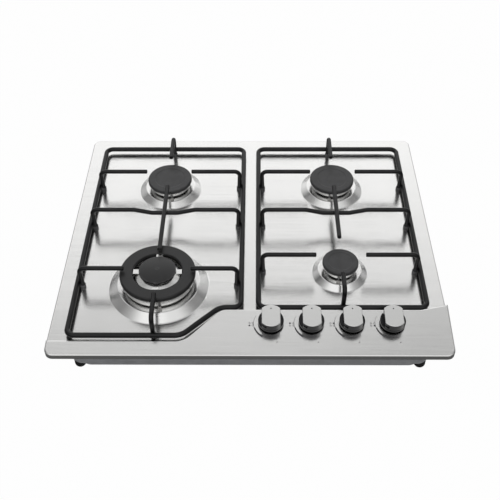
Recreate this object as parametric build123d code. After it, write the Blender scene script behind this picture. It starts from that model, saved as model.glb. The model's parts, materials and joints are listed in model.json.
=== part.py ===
from build123d import *
import os
from math import atan, cos, degrees, hypot, radians, sin, tan

# Four-burner gas cooktop, in millimetres. The origin is the middle of the cooktop on the
# worktop's surface: X runs to the right, Y to the back and Z up. The user stands at -Y.

# ---------------------------------------------------------------- sheet-metal top
PANEL_WIDTH = 580.0
PANEL_DEPTH = 500.0
PANEL_HEIGHT = 8.0
PANEL_CORNER = 12.0
SHEET = 1.0
EDGE_ROUND = 2.4
BOSS_RADIUS = 4.0
BOSS_HEIGHT = 5.0

# ---------------------------------------------------------------- raised control zone
CONTROL_REAR_HEIGHT = 11.6
CONTROL_DRAFT = 8.0
CONTROL_END_SWEEP = 9.0
GRATE_GAP = 0.5

# ---------------------------------------------------------------- pan supports
ROD_RADIUS = 4.0
BAR_RADIUS = 3.5
GRATE_INNER_X = 13.0
GRATE_SIDE_MARGIN = 29.0
GRATE_BACK_MARGIN = 37.0
GRATE_FRONT_MARGIN = 30.0
GRATE_STEP = 53.0
GRATE_CHAMFER_FROM_INNER = 84.0
ROD_CORNER = 11.0
CHAMFER_CORNER = 25.0
FRAME_CLEARANCE = 4.0
TIP_RADIUS = 4.4
TIP_HEIGHT = 4.5
TIP_FLOOR = 1.5
BAR_TOP = 50.0
BAR_BEND = 9.0
LEG_OFFSET = 7.0
LEG_LEAN = 1.5
BAR_DIP = 6.6
BAR_DIP_HALF_WIDTH = 21.0
BAR_DIP_RUN = 28.0
CROSS_BAR_FROM_BACK = 236.0
SMALL_BURNER_REACH = 37.5
WOK_BURNER_REACH = 50.0
WOK_LONG_BAR_REACH = 39.0

# ---------------------------------------------------------------- burners
BURNER_FROM_SIDE = 152.0
REAR_BURNER_FROM_BACK = 139.0
SIMMER_BURNER_FROM_FRONT = 162.0
WOK_BURNER_FROM_FRONT = 133.0
MOUND_BEND = 3.0
SEAT_ABOVE_MOUND = 3.0
HOLE_GAP = 0.5
FLANGE_THICKNESS = 2.0
CUP_WALL = 2.0
CUP_FLOOR_TOP = -8.0
CUP_FLOOR = 4.0
GAS_LEVEL = -19.5
GAS_BOSS_RADIUS = 6.5
GAS_BOSS_REACH = 9.0
JET_RADIUS = 4.6
JET_HEIGHT = 9.0
JET_STEM_RADIUS = 3.0
JET_STEM_LENGTH = 4.0
BURNER_SCREW_RADIUS = 2.0
SCREW_HEAD_RADIUS = 3.5
SCREW_HEAD_HEIGHT = 2.2
CROWN_FLOOR = 2.5
CROWN_WALL = 3.0
SKIRT_GAP = 0.3
SKIRT_WALL = 1.4
SKIRT_DEPTH = 6.0
VENTURI_WALL = 2.0
PORT_WIDTH = 1.7
PORT_DEPTH = 3.6
CAP_RING_WALL = 2.0
CAP_RING_DEPTH = 2.4
CAP_ROUND = 2.6
CAP_GROOVE_DEPTH = 0.5
CAP_GROOVE_WIDTH = 1.4

# ---------------------------------------------------------------- ignition electrodes
CERAMIC_RADIUS = 2.6
CERAMIC_COLLAR_RADIUS = 4.2
CERAMIC_BELOW_SPARK = 5.1
CERAMIC_BELOW_FLANGE = 11.0
PIN_RADIUS = 0.8
SPARK_BELOW_CAP = 3.4
PIN_BELOW_CERAMIC = 4.0
PIN_FIT = 0.05
LUG_WIDTH = 9.0
LUG_BEYOND_CERAMIC = 0.8

# ---------------------------------------------------------------- knobs and gas taps
KNOB_COUNT = 4
KNOB_LAST_FROM_SIDE = 84.3
KNOB_PITCH = 58.3
KNOB_FROM_FRONT = 54.0
KNOB_RADIUS = 18.5
KNOB_GRIP_WIDTH = 26.8
KNOB_GAP = 3.5
KNOB_SKIRT = 4.0
KNOB_HEIGHT = 16.0
KNOB_WALL = 2.0
KNOB_EDGE = 1.0
KNOB_HUB_RADIUS = 7.0
KNOB_PRESS = 3.0
SPINDLE_RADIUS = 4.0
SPINDLE_FLAT = 2.8
SPINDLE_FIT = 0.05
SPINDLE_IN_KNOB = 12.0
COLLAR_RADIUS = 6.6
COLLAR_TOP = -7.0
COLLAR_THICKNESS = 2.0
TANG_HALF = 2.45
TANG_FIT = 0.1
TANG_TOP = -23.0
TANG_BOTTOM = -34.0
BONNET_TOP = -19.0
BONNET_THICKNESS = 3.0
BONNET_HALF = 12.0
BONNET_REAR = 20.0
TAP_BODY_RADIUS = 11.0
TAP_BODY_BOTTOM = -48.0
TAP_FLOOR = 2.0
PLUG_TOP_RADIUS = 7.5
PLUG_BOTTOM_RADIUS = 6.0
PLUG_FIT = 0.08
PLUG_HEADROOM = 0.5
TAP_BOSS_RADIUS = 6.5
SPRING_RADIUS = 5.4
SPRING_WIRE = 0.45
SPRING_TURNS = 5
SEAL_LIP = 2.5
SEAL_THICKNESS = 1.2
SEAL_HOLE_RADIUS = 6.5
SEAL_BORE_GAP = 0.3
SWITCH_SIZE = (13.0, 8.0, 9.0)

# ---------------------------------------------------------------- gas pipework
RAIL_RADIUS = 8.0
RAIL_WALL = 1.5
RAIL_FROM_FRONT = 14.0
RAIL_BEFORE_TAP = 18.8
RAIL_FROM_SIDE = 21.0
RAIL_BEND = 30.0
INLET_FROM_BACK = 66.0
INLET_THREAD_RADIUS = 10.48
INLET_THREAD_LENGTH = 9.8
INLET_NECK_RADIUS = 9.4
INLET_NECK_BELOW_TRAY = 0.7
INLET_BODY_RADIUS = 13.0
INLET_BORE_RADIUS = 6.0
INLET_SIDE_BORE_RADIUS = 5.5
TUBE_RADIUS = 4.0
TUBE_BEND = 24.0
TUBE_BORE_RADIUS = 3.0
NUT_FLATS = 14.0
NUT_LENGTH = 9.0
NUT_FIT = 0.05
BRACKET_WIDTH = 14.0
BRACKET_DEPTH = 14.0

# ---------------------------------------------------------------- tray below the worktop
TRAY_SIDE_MARGIN = 24.0
TRAY_END_MARGIN = 19.0
TRAY_CORNER = 23.0
TRAY_DRAFT = 3.0
TRAY_BOTTOM = -45.0
PAD_WIDTH = 37.0
PAD_DEPTH = 45.0
PAD_RISE = 7.0
PAD_SLOPE_RUN = 12.0
TRAY_ROUND = 5.0
FLANGE_SIDE_REACH = 11.0
FLANGE_END_REACH = 7.5
RIM_SCREW_FROM_SIDE = 95.4
RIM_SCREW_FROM_END = 106.0
SCREW_HOLE_GAP = 0.25
SEAL_FLANGE_SIDE_GAP = 2.5
SEAL_FLANGE_END_GAP = 1.0
SEAL_SIDE_GAP = 0.5
FOOT_INSET = 15.0
FOOT_RADIUS = 8.5
FOOT_HEIGHT = 18.0
FOOT_ROUND = 6.0
FOOT_NECK_RADIUS = 3.0
FOOT_HEAD_RADIUS = 5.0
FOOT_HEAD_HEIGHT = 2.0
CLAMP_HOLE_RADIUS = 2.1
CLAMP_SPACING_X = 280.0
CLAMP_FROM_END = 21.0
VENT_LENGTH = 44.0
VENT_WIDTH = 5.0
VENT_PITCH = 13.0
VENT_COUNT = 5

# ---------------------------------------------------------------- ignition electrics
GENERATOR_SIZE = (74.0, 34.0, 24.0)
GENERATOR_FROM_BACK = 55.0
GENERATOR_FOOT = 8.0
TERMINAL_RADIUS = 3.0
TERMINAL_LENGTH = 6.0
TERMINAL_PITCH = 16.0
LEAD_RADIUS = 1.5
LEAD_LEVEL = -11.0
LEAD_BEND = 16.0
BOOT_RADIUS = 3.0
WIRE_RADIUS = 1.0
WIRE_LEVEL = -31.0
BATTERY_RADIUS = 16.4
BATTERY_LENGTH = 59.0
BATTERY_NIPPLE_RADIUS = 4.5
BATTERY_NIPPLE_LENGTH = 1.5
BATTERY_FROM_SIDE = 76.0
BATTERY_FROM_FRONT = 28.0
BATTERY_WALL = 1.6
BATTERY_FIT = 0.4
DOOR_THICKNESS = 2.0
DOOR_MARGIN = 4.0

# ---------------------------------------------------------------- values that follow
EPS = 0.01
GRATE_OUTER_X = PANEL_WIDTH / 2 - GRATE_SIDE_MARGIN
GRATE_BACK_Y = PANEL_DEPTH / 2 - GRATE_BACK_MARGIN
GRATE_FRONT_Y = -PANEL_DEPTH / 2 + GRATE_FRONT_MARGIN
GRATE_STEP_Y = GRATE_FRONT_Y + GRATE_STEP
GRATE_CHAMFER_X = -GRATE_INNER_X - GRATE_CHAMFER_FROM_INNER
BURNER_X = PANEL_WIDTH / 2 - BURNER_FROM_SIDE
REAR_BURNER_Y = PANEL_DEPTH / 2 - REAR_BURNER_FROM_BACK
SIMMER_BURNER_Y = -PANEL_DEPTH / 2 + SIMMER_BURNER_FROM_FRONT
WOK_BURNER_Y = -PANEL_DEPTH / 2 + WOK_BURNER_FROM_FRONT
CROSS_BAR_Y = PANEL_DEPTH / 2 - CROSS_BAR_FROM_BACK
KNOB_Y = -PANEL_DEPTH / 2 + KNOB_FROM_FRONT
TRAY_HALF_WIDTH = PANEL_WIDTH / 2 - TRAY_SIDE_MARGIN
TRAY_HALF_DEPTH = PANEL_DEPTH / 2 - TRAY_END_MARGIN
PAD_X = TRAY_HALF_WIDTH - PAD_WIDTH
PAD_Y = TRAY_HALF_DEPTH - PAD_DEPTH
FLANGE_HALF_WIDTH = TRAY_HALF_WIDTH + FLANGE_SIDE_REACH
FLANGE_HALF_DEPTH = TRAY_HALF_DEPTH + FLANGE_END_REACH
SEAL_INNER_HALF_WIDTH = FLANGE_HALF_WIDTH + SEAL_FLANGE_SIDE_GAP
SEAL_INNER_HALF_DEPTH = FLANGE_HALF_DEPTH + SEAL_FLANGE_END_GAP
FOOT_X = TRAY_HALF_WIDTH - FOOT_INSET
FOOT_Y = TRAY_HALF_DEPTH - FOOT_INSET
CLAMP_SPACING_Y = 2 * (TRAY_HALF_DEPTH - CLAMP_FROM_END)
RAIL_Y = -TRAY_HALF_DEPTH + RAIL_FROM_FRONT
RAIL_SIDE_X = TRAY_HALF_WIDTH - RAIL_FROM_SIDE
INLET_Y = TRAY_HALF_DEPTH - INLET_FROM_BACK
GENERATOR_Y = TRAY_HALF_DEPTH - GENERATOR_FROM_BACK
BATTERY_X = -TRAY_HALF_WIDTH + BATTERY_FROM_SIDE
BATTERY_Y = -TRAY_HALF_DEPTH + BATTERY_FROM_FRONT
CONTROL_BOUNDARY = ROD_RADIUS + GRATE_GAP
CONTROL_REAR_Y = GRATE_STEP_Y - CONTROL_BOUNDARY
CONTROL_TILT = degrees(atan(CONTROL_REAR_HEIGHT / (PANEL_DEPTH / 2 + CONTROL_REAR_Y)))
ROD_LEVEL = PANEL_HEIGHT + FRAME_CLEARANCE + ROD_RADIUS
LEG_BOTTOM = PANEL_HEIGHT + TIP_FLOOR
BAR_LEVEL = BAR_TOP - BAR_RADIUS
TRAY_FLOOR = TRAY_BOTTOM + SHEET
PAD_BOTTOM = TRAY_BOTTOM + PAD_RISE
PAD_FLOOR = PAD_BOTTOM + SHEET
FLANGE_TOP = PANEL_HEIGHT - SHEET - BOSS_HEIGHT
KNOB_FIRST_X = round(PANEL_WIDTH / 2 - KNOB_LAST_FROM_SIDE - KNOB_PITCH * (KNOB_COUNT - 1), 3)
KNOB_X = [KNOB_FIRST_X + KNOB_PITCH * i for i in range(KNOB_COUNT)]
RAIL_START_X = round(KNOB_FIRST_X - RAIL_BEFORE_TAP, 3)
CUP_BOTTOM = GAS_LEVEL - GAS_BOSS_RADIUS


class Burner:
    """One burner's place and the radii that its pieces share."""

    def __init__(self, name, x, y, mound, mound_run, mound_height, rim, crown, crown_height,
                 cap, cap_height, ports, electrode_radius, electrode_angle, screw_angle):
        self.name, self.x, self.y = name, x, y
        self.mound, self.mound_run, self.mound_height = mound, mound_run, mound_height
        self.rim, self.crown, self.crown_height = rim, crown, crown_height
        self.cap, self.cap_height = cap, cap_height
        self.ports = ports
        self.electrode_radius = electrode_radius
        self.electrode_angle, self.screw_angle = electrode_angle, screw_angle
        self.top = PANEL_HEIGHT + mound_height
        self.under = self.top - SHEET
        self.seat = self.top + SEAT_ABOVE_MOUND
        self.screw_radius = rim + HOLE_GAP + SCREW_HEAD_RADIUS + HOLE_GAP
        self.flange = self.screw_radius + SCREW_HEAD_RADIUS

    def at(self, radius, angle, z=0.0):
        return (self.x + radius * cos(radians(angle)), self.y + radius * sin(radians(angle)), z)

    def electrode(self, z=0.0):
        return self.at(self.electrode_radius, self.electrode_angle, z)

    def spark_level(self):
        return self.seat + self.crown_height - SPARK_BELOW_CAP


REAR_LEFT = Burner("rear_left", -BURNER_X, REAR_BURNER_Y, 52.5, 11.0, 7.0, 23.0, 33.0, 9.0,
                   37.0, 6.0, 32, 37.0, -82.0, 20.0)
REAR_RIGHT = Burner("rear_right", BURNER_X, REAR_BURNER_Y, 52.5, 11.0, 7.0, 23.0, 33.0, 9.0,
                    37.0, 6.0, 32, 37.0, -99.0, 20.0)
SIMMER = Burner("simmer", BURNER_X, SIMMER_BURNER_Y, 42.5, 9.4, 7.0, 14.0, 24.0, 9.0,
                27.5, 6.0, 22, 28.2, -99.0, 20.0)
WOK = Burner("wok", -BURNER_X, WOK_BURNER_Y, 76.0, 14.0, 9.0, 46.0, 53.0, 13.5,
             57.0, 7.0, 52, 57.4, -83.0, 20.0)
SMALL_BURNERS = [REAR_LEFT, REAR_RIGHT, SIMMER]
BURNERS = SMALL_BURNERS + [WOK]

# The wide burner's ring and centre.
RING_INNER = 37.0
RING_WALL_INNER = 38.5
CENTRE_CROWN = 24.5
CENTRE_CROWN_HEIGHT = 21.0
CENTRE_APRON = 33.5
CENTRE_APRON_DROP = 3.5
CENTRE_APRON_EDGE = 1.8
CENTRE_CAP = 27.7
CENTRE_CAP_DOME = 3.5
CENTRE_CAP_EDGE = 2.5
CENTRE_PORTS = 24
CENTRE_VENTURI = 9.0
ARM_COUNT = 4
ARM_WIDTH = 9.0
ARM_DEPTH = 7.5
ARM_BELOW_RING_TOP = 1.0
ARM_LUG_RISE = 7.0
ARM_LUG_GAP = 0.6


# ================================================================ shared helpers
def rounded_prism(half_x, half_y, corner, bottom, top):
    plan = RectangleRounded(2 * half_x, 2 * half_y, corner)
    return Pos(0, 0, bottom) * extrude(plan, top - bottom)


def post(x, y, radius, bottom, top):
    return Pos(x, y, (bottom + top) / 2) * Cylinder(radius, top - bottom)


def tube(x, y, outer, inner, bottom, top):
    return post(x, y, outer, bottom, top) - post(x, y, inner, bottom - 1, top + 1)


def turned(points, radii=None):
    """A solid of revolution about Z from (radius, z) points, with a radius for each corner."""
    spots = [(r, 0, z) for r, z in points]
    if radii is None:
        outline = Polyline(*spots, close=True)
    else:
        outline = FilletPolyline(*spots, radius=radii, close=True)
    return revolve(make_face(outline), Axis.Z)


def swept_rod(points, radius, bends, closed=False):
    """A round rod along straight runs joined by tangent arcs."""
    path = FilletPolyline(*points, radius=bends, close=closed)
    return sweep(Plane(path @ 0, z_dir=path % 0) * Circle(radius), path=path)


def control_height(y):
    return PANEL_HEIGHT + (y + PANEL_DEPTH / 2) * tan(radians(CONTROL_TILT))


def on_control(x, y=KNOB_Y):
    """The frame of a knob: its origin on the control zone, its Z along the knob's axis."""
    tilt = radians(CONTROL_TILT)
    return Plane((x, y, control_height(y)), x_dir=(1, 0, 0), z_dir=(0, -sin(tilt), cos(tilt)))


def group(solids):
    """Separate solids that share one node."""
    return Compound(children=[part for solid in solids for part in solid.solids()])


# ================================================================ sheet-metal top
def panel_slab(inset):
    height = PANEL_HEIGHT - inset
    slab = rounded_prism(PANEL_WIDTH / 2 - inset, PANEL_DEPTH / 2 - inset,
                         PANEL_CORNER - inset, -inset, height)
    rim = slab.edges().group_by(Axis.Z)[-1]
    return fillet(rim, EDGE_ROUND - inset)


def control_outline(offset):
    """Plan of the control zone: its rear follows the front of the pan supports."""
    diagonal = GRATE_CHAMFER_X - GRATE_FRONT_Y + (CONTROL_BOUNDARY + offset) * 2 ** 0.5
    front = GRATE_FRONT_Y - CONTROL_BOUNDARY - offset
    rear = CONTROL_REAR_Y - offset
    beyond = PANEL_WIDTH
    end = GRATE_OUTER_X - ROD_CORNER
    far = beyond + end
    sweep_back = CONTROL_END_SWEEP * far / (PANEL_WIDTH / 2 - end)
    points = [
        (-beyond, front),
        (front + diagonal, front),
        (rear + diagonal, rear),
        (end, rear),
        (end + far, rear + sweep_back),
        (end + far, -PANEL_DEPTH),
        (-beyond, -PANEL_DEPTH),
    ]
    outer = CHAMFER_CORNER + CONTROL_BOUNDARY + offset
    inner = CHAMFER_CORNER - CONTROL_BOUNDARY - offset
    return FilletPolyline(*points, radius=[0, outer, inner, CHAMFER_CORNER, 0, 0, 0], close=True)


def control_wedge(inset):
    """The wedge that lifts the control zone, from the panel's foot to its sloping top."""
    level = PANEL_HEIGHT - inset
    reach = 2 * CONTROL_REAR_HEIGHT
    foot = make_face(control_outline(inset))
    head = make_face(control_outline(inset + reach * tan(radians(CONTROL_DRAFT))))
    wedge = Pos(0, 0, -inset) * extrude(foot, level + inset)
    wedge += loft([Pos(0, 0, level) * foot, Pos(0, 0, level + reach) * head], ruled=True)
    below = on_control(0, -PANEL_DEPTH / 2) * Pos(0, 0, -inset - PANEL_DEPTH) * Box(
        2 * PANEL_WIDTH, 3 * PANEL_DEPTH, 2 * PANEL_DEPTH)
    wedge &= below
    wedge &= rounded_prism(PANEL_WIDTH / 2 - inset, PANEL_DEPTH / 2 - inset,
                           PANEL_CORNER - inset, -inset, level + reach)
    normal = on_control(0).z_dir
    top = [face for face in wedge.faces() if face.normal_at().dot(normal) > 0.9999]
    return fillet(max(top, key=lambda face: face.area).edges(), EDGE_ROUND - inset)


def mound(burner, inset):
    """The raised round stage under a burner."""
    slope = atan(burner.mound_height / burner.mound_run)
    shift = inset * tan(slope / 2)
    foot, level = burner.mound - shift, PANEL_HEIGHT - inset
    head, top = foot - burner.mound_run, burner.top - inset
    points = [(0, level - SHEET / 2), (foot + 4, level - SHEET / 2), (foot + 4, level),
              (foot, level), (head, top), (0, top)]
    return Pos(burner.x, burner.y, 0) * turned(points, [0, 0, 0, MOUND_BEND + inset, MOUND_BEND - inset, 0])


def screw_places(burner):
    return [burner.at(burner.screw_radius, burner.screw_angle + turn) for turn in (0, 180)]


def rim_screw_places():
    """Where the tray is screwed to the top: along the front, the back and both sides."""
    x = (TRAY_HALF_WIDTH + FLANGE_HALF_WIDTH) / 2
    y = (TRAY_HALF_DEPTH + FLANGE_HALF_DEPTH) / 2
    along_x = TRAY_HALF_WIDTH - RIM_SCREW_FROM_SIDE
    along_y = TRAY_HALF_DEPTH - RIM_SCREW_FROM_END
    places = [(sx * along_x, sy * y) for sx in (-1, 1) for sy in (-1, 1)]
    places += [(sx * x, sy * along_y) for sx in (-1, 1) for sy in (-1, 1)]
    return places


def panel_shape(inset):
    region = extrude(make_face(control_outline(inset)), 2 * PANEL_HEIGHT)
    shape = panel_slab(inset) - Pos(0, 0, -PANEL_HEIGHT) * region
    shape += control_wedge(inset)
    for burner in BURNERS:
        shape += mound(burner, inset)
    return shape


def hob_top():
    outer = panel_shape(0)
    top = outer - panel_shape(SHEET)
    for x, y in rim_screw_places():
        boss = post(x, y, BOSS_RADIUS, FLANGE_TOP, PANEL_HEIGHT + CONTROL_REAR_HEIGHT) & outer
        top += boss - post(x, y, BURNER_SCREW_RADIUS, FLANGE_TOP - 1, PANEL_HEIGHT - SHEET)
    for burner in BURNERS:
        top -= post(burner.x, burner.y, burner.rim + HOLE_GAP, 0, burner.seat)
        hole = burner.electrode()
        top -= post(hole[0], hole[1], CERAMIC_RADIUS + SKIRT_GAP, 0, burner.seat)
        for x, y, _ in screw_places(burner):
            top -= post(x, y, BURNER_SCREW_RADIUS + SCREW_HOLE_GAP, 0, burner.seat)
    for x in KNOB_X:
        top -= on_control(x) * Cylinder(SEAL_HOLE_RADIUS, 4 * SHEET)
    return top


def worktop_seal():
    inset = SHEET + SEAL_SIDE_GAP
    outer = rounded_prism(PANEL_WIDTH / 2 - inset, PANEL_DEPTH / 2 - inset, PANEL_CORNER - inset,
                          0, PANEL_HEIGHT - SHEET)
    outer = fillet(outer.edges().group_by(Axis.Z)[-1], EDGE_ROUND - SHEET)
    inner = rounded_prism(SEAL_INNER_HALF_WIDTH, SEAL_INNER_HALF_DEPTH, PANEL_CORNER / 2, -1,
                          PANEL_HEIGHT)
    return outer - inner


# ================================================================ burners
def burner_base(burner):
    """The cup below the panel that holds the jet, with its gas inlet and its screw flange."""
    inner = burner.rim - CUP_WALL
    base = post(0, 0, burner.rim, CUP_FLOOR_TOP - CUP_FLOOR, burner.seat)
    base -= post(0, 0, inner, CUP_FLOOR_TOP, burner.seat + 1)
    base += tube(0, 0, burner.flange, inner, burner.under - FLANGE_THICKNESS, burner.under)
    base += post(0, 0, GAS_BOSS_RADIUS + 1, CUP_BOTTOM, CUP_FLOOR_TOP - CUP_FLOOR)
    side = gas_side(burner)
    reach = burner.rim + GAS_BOSS_REACH
    arm = Plane((0, 0, GAS_LEVEL), z_dir=(side[0], side[1], 0))
    base += arm * Pos(0, 0, reach / 2) * Cylinder(GAS_BOSS_RADIUS, reach)
    bore = reach + 1 - JET_STEM_RADIUS
    base -= arm * Pos(0, 0, JET_STEM_RADIUS + bore / 2) * Cylinder(TUBE_BORE_RADIUS, bore)
    for centre in jet_centres(burner):
        base -= post(centre, 0, JET_STEM_RADIUS, GAS_LEVEL, CUP_FLOOR_TOP + 1)
    base = Pos(burner.x, burner.y, 0) * base
    base += electrode_lug(burner)
    ceramic = burner.electrode()
    base -= post(ceramic[0], ceramic[1], CERAMIC_RADIUS + PIN_FIT, CUP_BOTTOM, burner.seat)
    for x, y, _ in screw_places(burner):
        base -= post(x, y, BURNER_SCREW_RADIUS, 0, burner.seat)
    return base


def electrode_lug(burner):
    reach = burner.electrode_radius + CERAMIC_RADIUS + LUG_BEYOND_CERAMIC
    start = burner.rim - CUP_WALL / 2
    lug = Pos((start + reach) / 2, 0, burner.under - FLANGE_THICKNESS / 2) * Box(
        reach - start, LUG_WIDTH, FLANGE_THICKNESS)
    return Pos(burner.x, burner.y, 0) * Rot(0, 0, burner.electrode_angle) * lug


def gas_side(burner):
    """The direction in which a burner's gas inlet points."""
    return (0, -1) if burner is SIMMER else (1, 0)


def jet_centres(burner):
    """The wide burner has a second jet, for its ring."""
    return (0, burner.rim / 2) if burner is WOK else (0,)


def gas_jet(burner, offset):
    profile = [(0, -JET_STEM_LENGTH), (JET_STEM_RADIUS, -JET_STEM_LENGTH), (JET_STEM_RADIUS, 0),
               (JET_RADIUS, 0), (JET_RADIUS, JET_HEIGHT * 0.5), (JET_STEM_RADIUS, JET_HEIGHT * 0.6),
               (JET_STEM_RADIUS * 0.8, JET_HEIGHT), (0, JET_HEIGHT)]
    jet = turned(profile) - post(0, 0, 0.6, -JET_STEM_LENGTH - 1, JET_HEIGHT + 1)
    return Pos(burner.x + offset, burner.y, CUP_FLOOR_TOP) * jet


def burner_screw(burner, place):
    shank = post(0, 0, BURNER_SCREW_RADIUS, -SHEET - FLANGE_THICKNESS - 2, 0.5)
    head = post(0, 0, SCREW_HEAD_RADIUS, 0, SCREW_HEAD_HEIGHT)
    head = fillet(head.edges().group_by(Axis.Z)[-1], 0.8)
    slot = Pos(0, 0, SCREW_HEAD_HEIGHT) * (Box(4.4, 0.9, 1.6) + Box(0.9, 4.4, 1.6))
    return Pos(place[0], place[1], burner.top) * (shank + head - slot)


def port_cutters(radius, count, z, reach):
    """Radial slots in a crown's wall, open at the top where the cap closes them."""
    slot = Pos(radius, 0, z - PORT_DEPTH / 2 + 0.5) * Box(reach, PORT_WIDTH, PORT_DEPTH + 1)
    return [Rot(0, 0, 360 / count * i) * slot for i in range(count)]


def small_crown(burner):
    """The cast flame spreader of a plain burner: a mixing tube, a floor and a slotted wall."""
    seat, top = burner.seat, burner.seat + burner.crown_height
    bore = burner.rim * 0.32 + 1.2
    stem = bore + VENTURI_WALL
    wall = burner.crown - CROWN_WALL
    skirt = burner.rim - CUP_WALL - SKIRT_GAP
    crown = turned([(bore, CUP_FLOOR_TOP + JET_HEIGHT + 2), (stem, CUP_FLOOR_TOP + JET_HEIGHT + 2),
                    (stem, seat), (skirt - SKIRT_WALL, seat), (skirt - SKIRT_WALL, seat - SKIRT_DEPTH),
                    (skirt, seat - SKIRT_DEPTH), (skirt, seat), (burner.crown - 1.5, seat),
                    (burner.crown, seat + 1.5), (burner.crown, top), (wall, top),
                    (wall, seat + CROWN_FLOOR), (stem, seat + CROWN_FLOOR), (stem, seat + CROWN_FLOOR + 3),
                    (bore, seat + CROWN_FLOOR + 3)])
    cutters = port_cutters(burner.crown - CROWN_WALL / 2, burner.ports, top, CROWN_WALL + 2)
    return Pos(burner.x, burner.y, 0) * (crown - cutters)


def small_cap(burner):
    """The enamelled steel cap: a rounded disc with a locating ring below."""
    under = burner.seat + burner.crown_height
    top = under + burner.cap_height
    ring = burner.crown - CROWN_WALL - SKIRT_GAP
    groove = burner.cap * 0.66
    floor = top - CAP_GROOVE_DEPTH
    cap = turned([(0, under), (ring - CAP_RING_WALL, under), (ring - CAP_RING_WALL, under - CAP_RING_DEPTH),
                  (ring, under - CAP_RING_DEPTH), (ring, under), (burner.cap, under), (burner.cap, top),
                  (groove + CAP_GROOVE_WIDTH, top), (groove, floor), (0, floor)],
                 [0, 0, 0, 0, 0, 0.8, CAP_ROUND, 0, 0, 0])
    return Pos(burner.x, burner.y, 0) * cap


def wok_crown():
    """One casting: a ring and a raised centre, joined by arms that carry gas out to the ring."""
    seat, top = WOK.seat, WOK.seat + WOK.crown_height
    skirt = WOK.rim - CUP_WALL - SKIRT_GAP
    outer_wall, inner_wall = WOK.crown - CROWN_WALL, RING_WALL_INNER + CROWN_WALL
    floor = seat + CROWN_FLOOR
    ring = turned([(RING_WALL_INNER, seat), (skirt - SKIRT_WALL, seat),
                   (skirt - SKIRT_WALL, seat - SKIRT_DEPTH), (skirt, seat - SKIRT_DEPTH), (skirt, seat),
                   (WOK.crown - 1.5, seat), (WOK.crown, seat + 1.5), (WOK.crown, top), (outer_wall, top),
                   (outer_wall, floor), (inner_wall, floor), (inner_wall, top), (RING_WALL_INNER, top)])
    ring -= port_cutters(WOK.crown - CROWN_WALL / 2, WOK.ports, top, CROWN_WALL + 2)
    return Pos(WOK.x, WOK.y, 0) * (ring + wok_crown_centre() + wok_crown_arms())


def wok_crown_centre():
    """The raised middle: a mixing tube, a slotted wall and a sloping apron below its slots."""
    seat, top = WOK.seat, WOK.seat + CENTRE_CROWN_HEIGHT
    floor = seat + CROWN_FLOOR
    stem, wall = CENTRE_VENTURI + VENTURI_WALL, CENTRE_CROWN - CROWN_WALL
    tube_end = CUP_FLOOR_TOP + JET_HEIGHT + 2
    apron_top = top - PORT_DEPTH - ARM_LUG_GAP
    edge = apron_top - CENTRE_APRON_DROP
    centre = turned([(CENTRE_VENTURI, tube_end), (stem, tube_end), (stem, seat), (CENTRE_CROWN, seat),
                     (CENTRE_CROWN, edge - CENTRE_APRON_EDGE), (CENTRE_APRON, edge - CENTRE_APRON_EDGE),
                     (CENTRE_APRON, edge), (CENTRE_CROWN, apron_top), (CENTRE_CROWN, top), (wall, top),
                     (wall, floor), (stem, floor), (stem, floor + 3), (CENTRE_VENTURI, floor + 3)])
    return centre - port_cutters(CENTRE_CROWN - CROWN_WALL / 2, CENTRE_PORTS, top, CROWN_WALL + 2)


def wok_crown_arms():
    """Arms below the ring's cap, each with a lug that stands up in the gap inside that cap."""
    start, end = CENTRE_CROWN - CROWN_WALL / 2, RING_WALL_INNER + CROWN_WALL / 2
    lug_end = RING_INNER - ARM_LUG_GAP
    top = WOK.seat + WOK.crown_height - ARM_BELOW_RING_TOP
    arm = Pos((start + end) / 2, 0, top - ARM_DEPTH / 2) * Box(end - start, ARM_WIDTH, ARM_DEPTH)
    lug = Box(lug_end - start, ARM_WIDTH, ARM_LUG_RISE)
    arm += Pos((start + lug_end) / 2, 0, top + ARM_LUG_RISE / 2) * lug
    arms = arm
    for i in range(1, ARM_COUNT):
        arms += Rot(0, 0, 360 / ARM_COUNT * i) * arm
    return arms


def wok_ring_cap():
    under = WOK.seat + WOK.crown_height
    top = under + WOK.cap_height
    outer = WOK.crown - CROWN_WALL - SKIRT_GAP
    low = under - CAP_RING_DEPTH
    cap = turned([(RING_INNER, under), (outer - CAP_RING_WALL, under), (outer - CAP_RING_WALL, low),
                  (outer, low), (outer, under), (WOK.cap, under), (WOK.cap, top), (RING_INNER, top)],
                 [0.6, 0, 0, 0, 0, 1.6, 2.8, 1.8])
    return Pos(WOK.x, WOK.y, 0) * cap


def wok_centre_cap():
    """The domed cap of the wide burner's centre, with the same locating ring below."""
    under = WOK.seat + CENTRE_CROWN_HEIGHT
    shoulder = under + CENTRE_CAP_EDGE
    peak = shoulder + CENTRE_CAP_DOME
    ring = CENTRE_CROWN - CROWN_WALL - SKIRT_GAP
    foot = Polyline((0, 0, peak), (0, 0, under), (ring - CAP_RING_WALL, 0, under),
                    (ring - CAP_RING_WALL, 0, under - CAP_RING_DEPTH), (ring, 0, under - CAP_RING_DEPTH),
                    (ring, 0, under), (CENTRE_CAP, 0, under), (CENTRE_CAP, 0, shoulder))
    rise = CENTRE_CAP_DOME
    bulge = (CENTRE_CAP ** 2 + rise ** 2) / (2 * rise)
    half = CENTRE_CAP / 2
    middle = peak - bulge + (bulge ** 2 - half ** 2) ** 0.5
    dome = ThreePointArc((CENTRE_CAP, 0, shoulder), (half, 0, middle), (0, 0, peak))
    return Pos(WOK.x, WOK.y, 0) * revolve(make_face([foot, dome]), Axis.Z)


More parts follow.
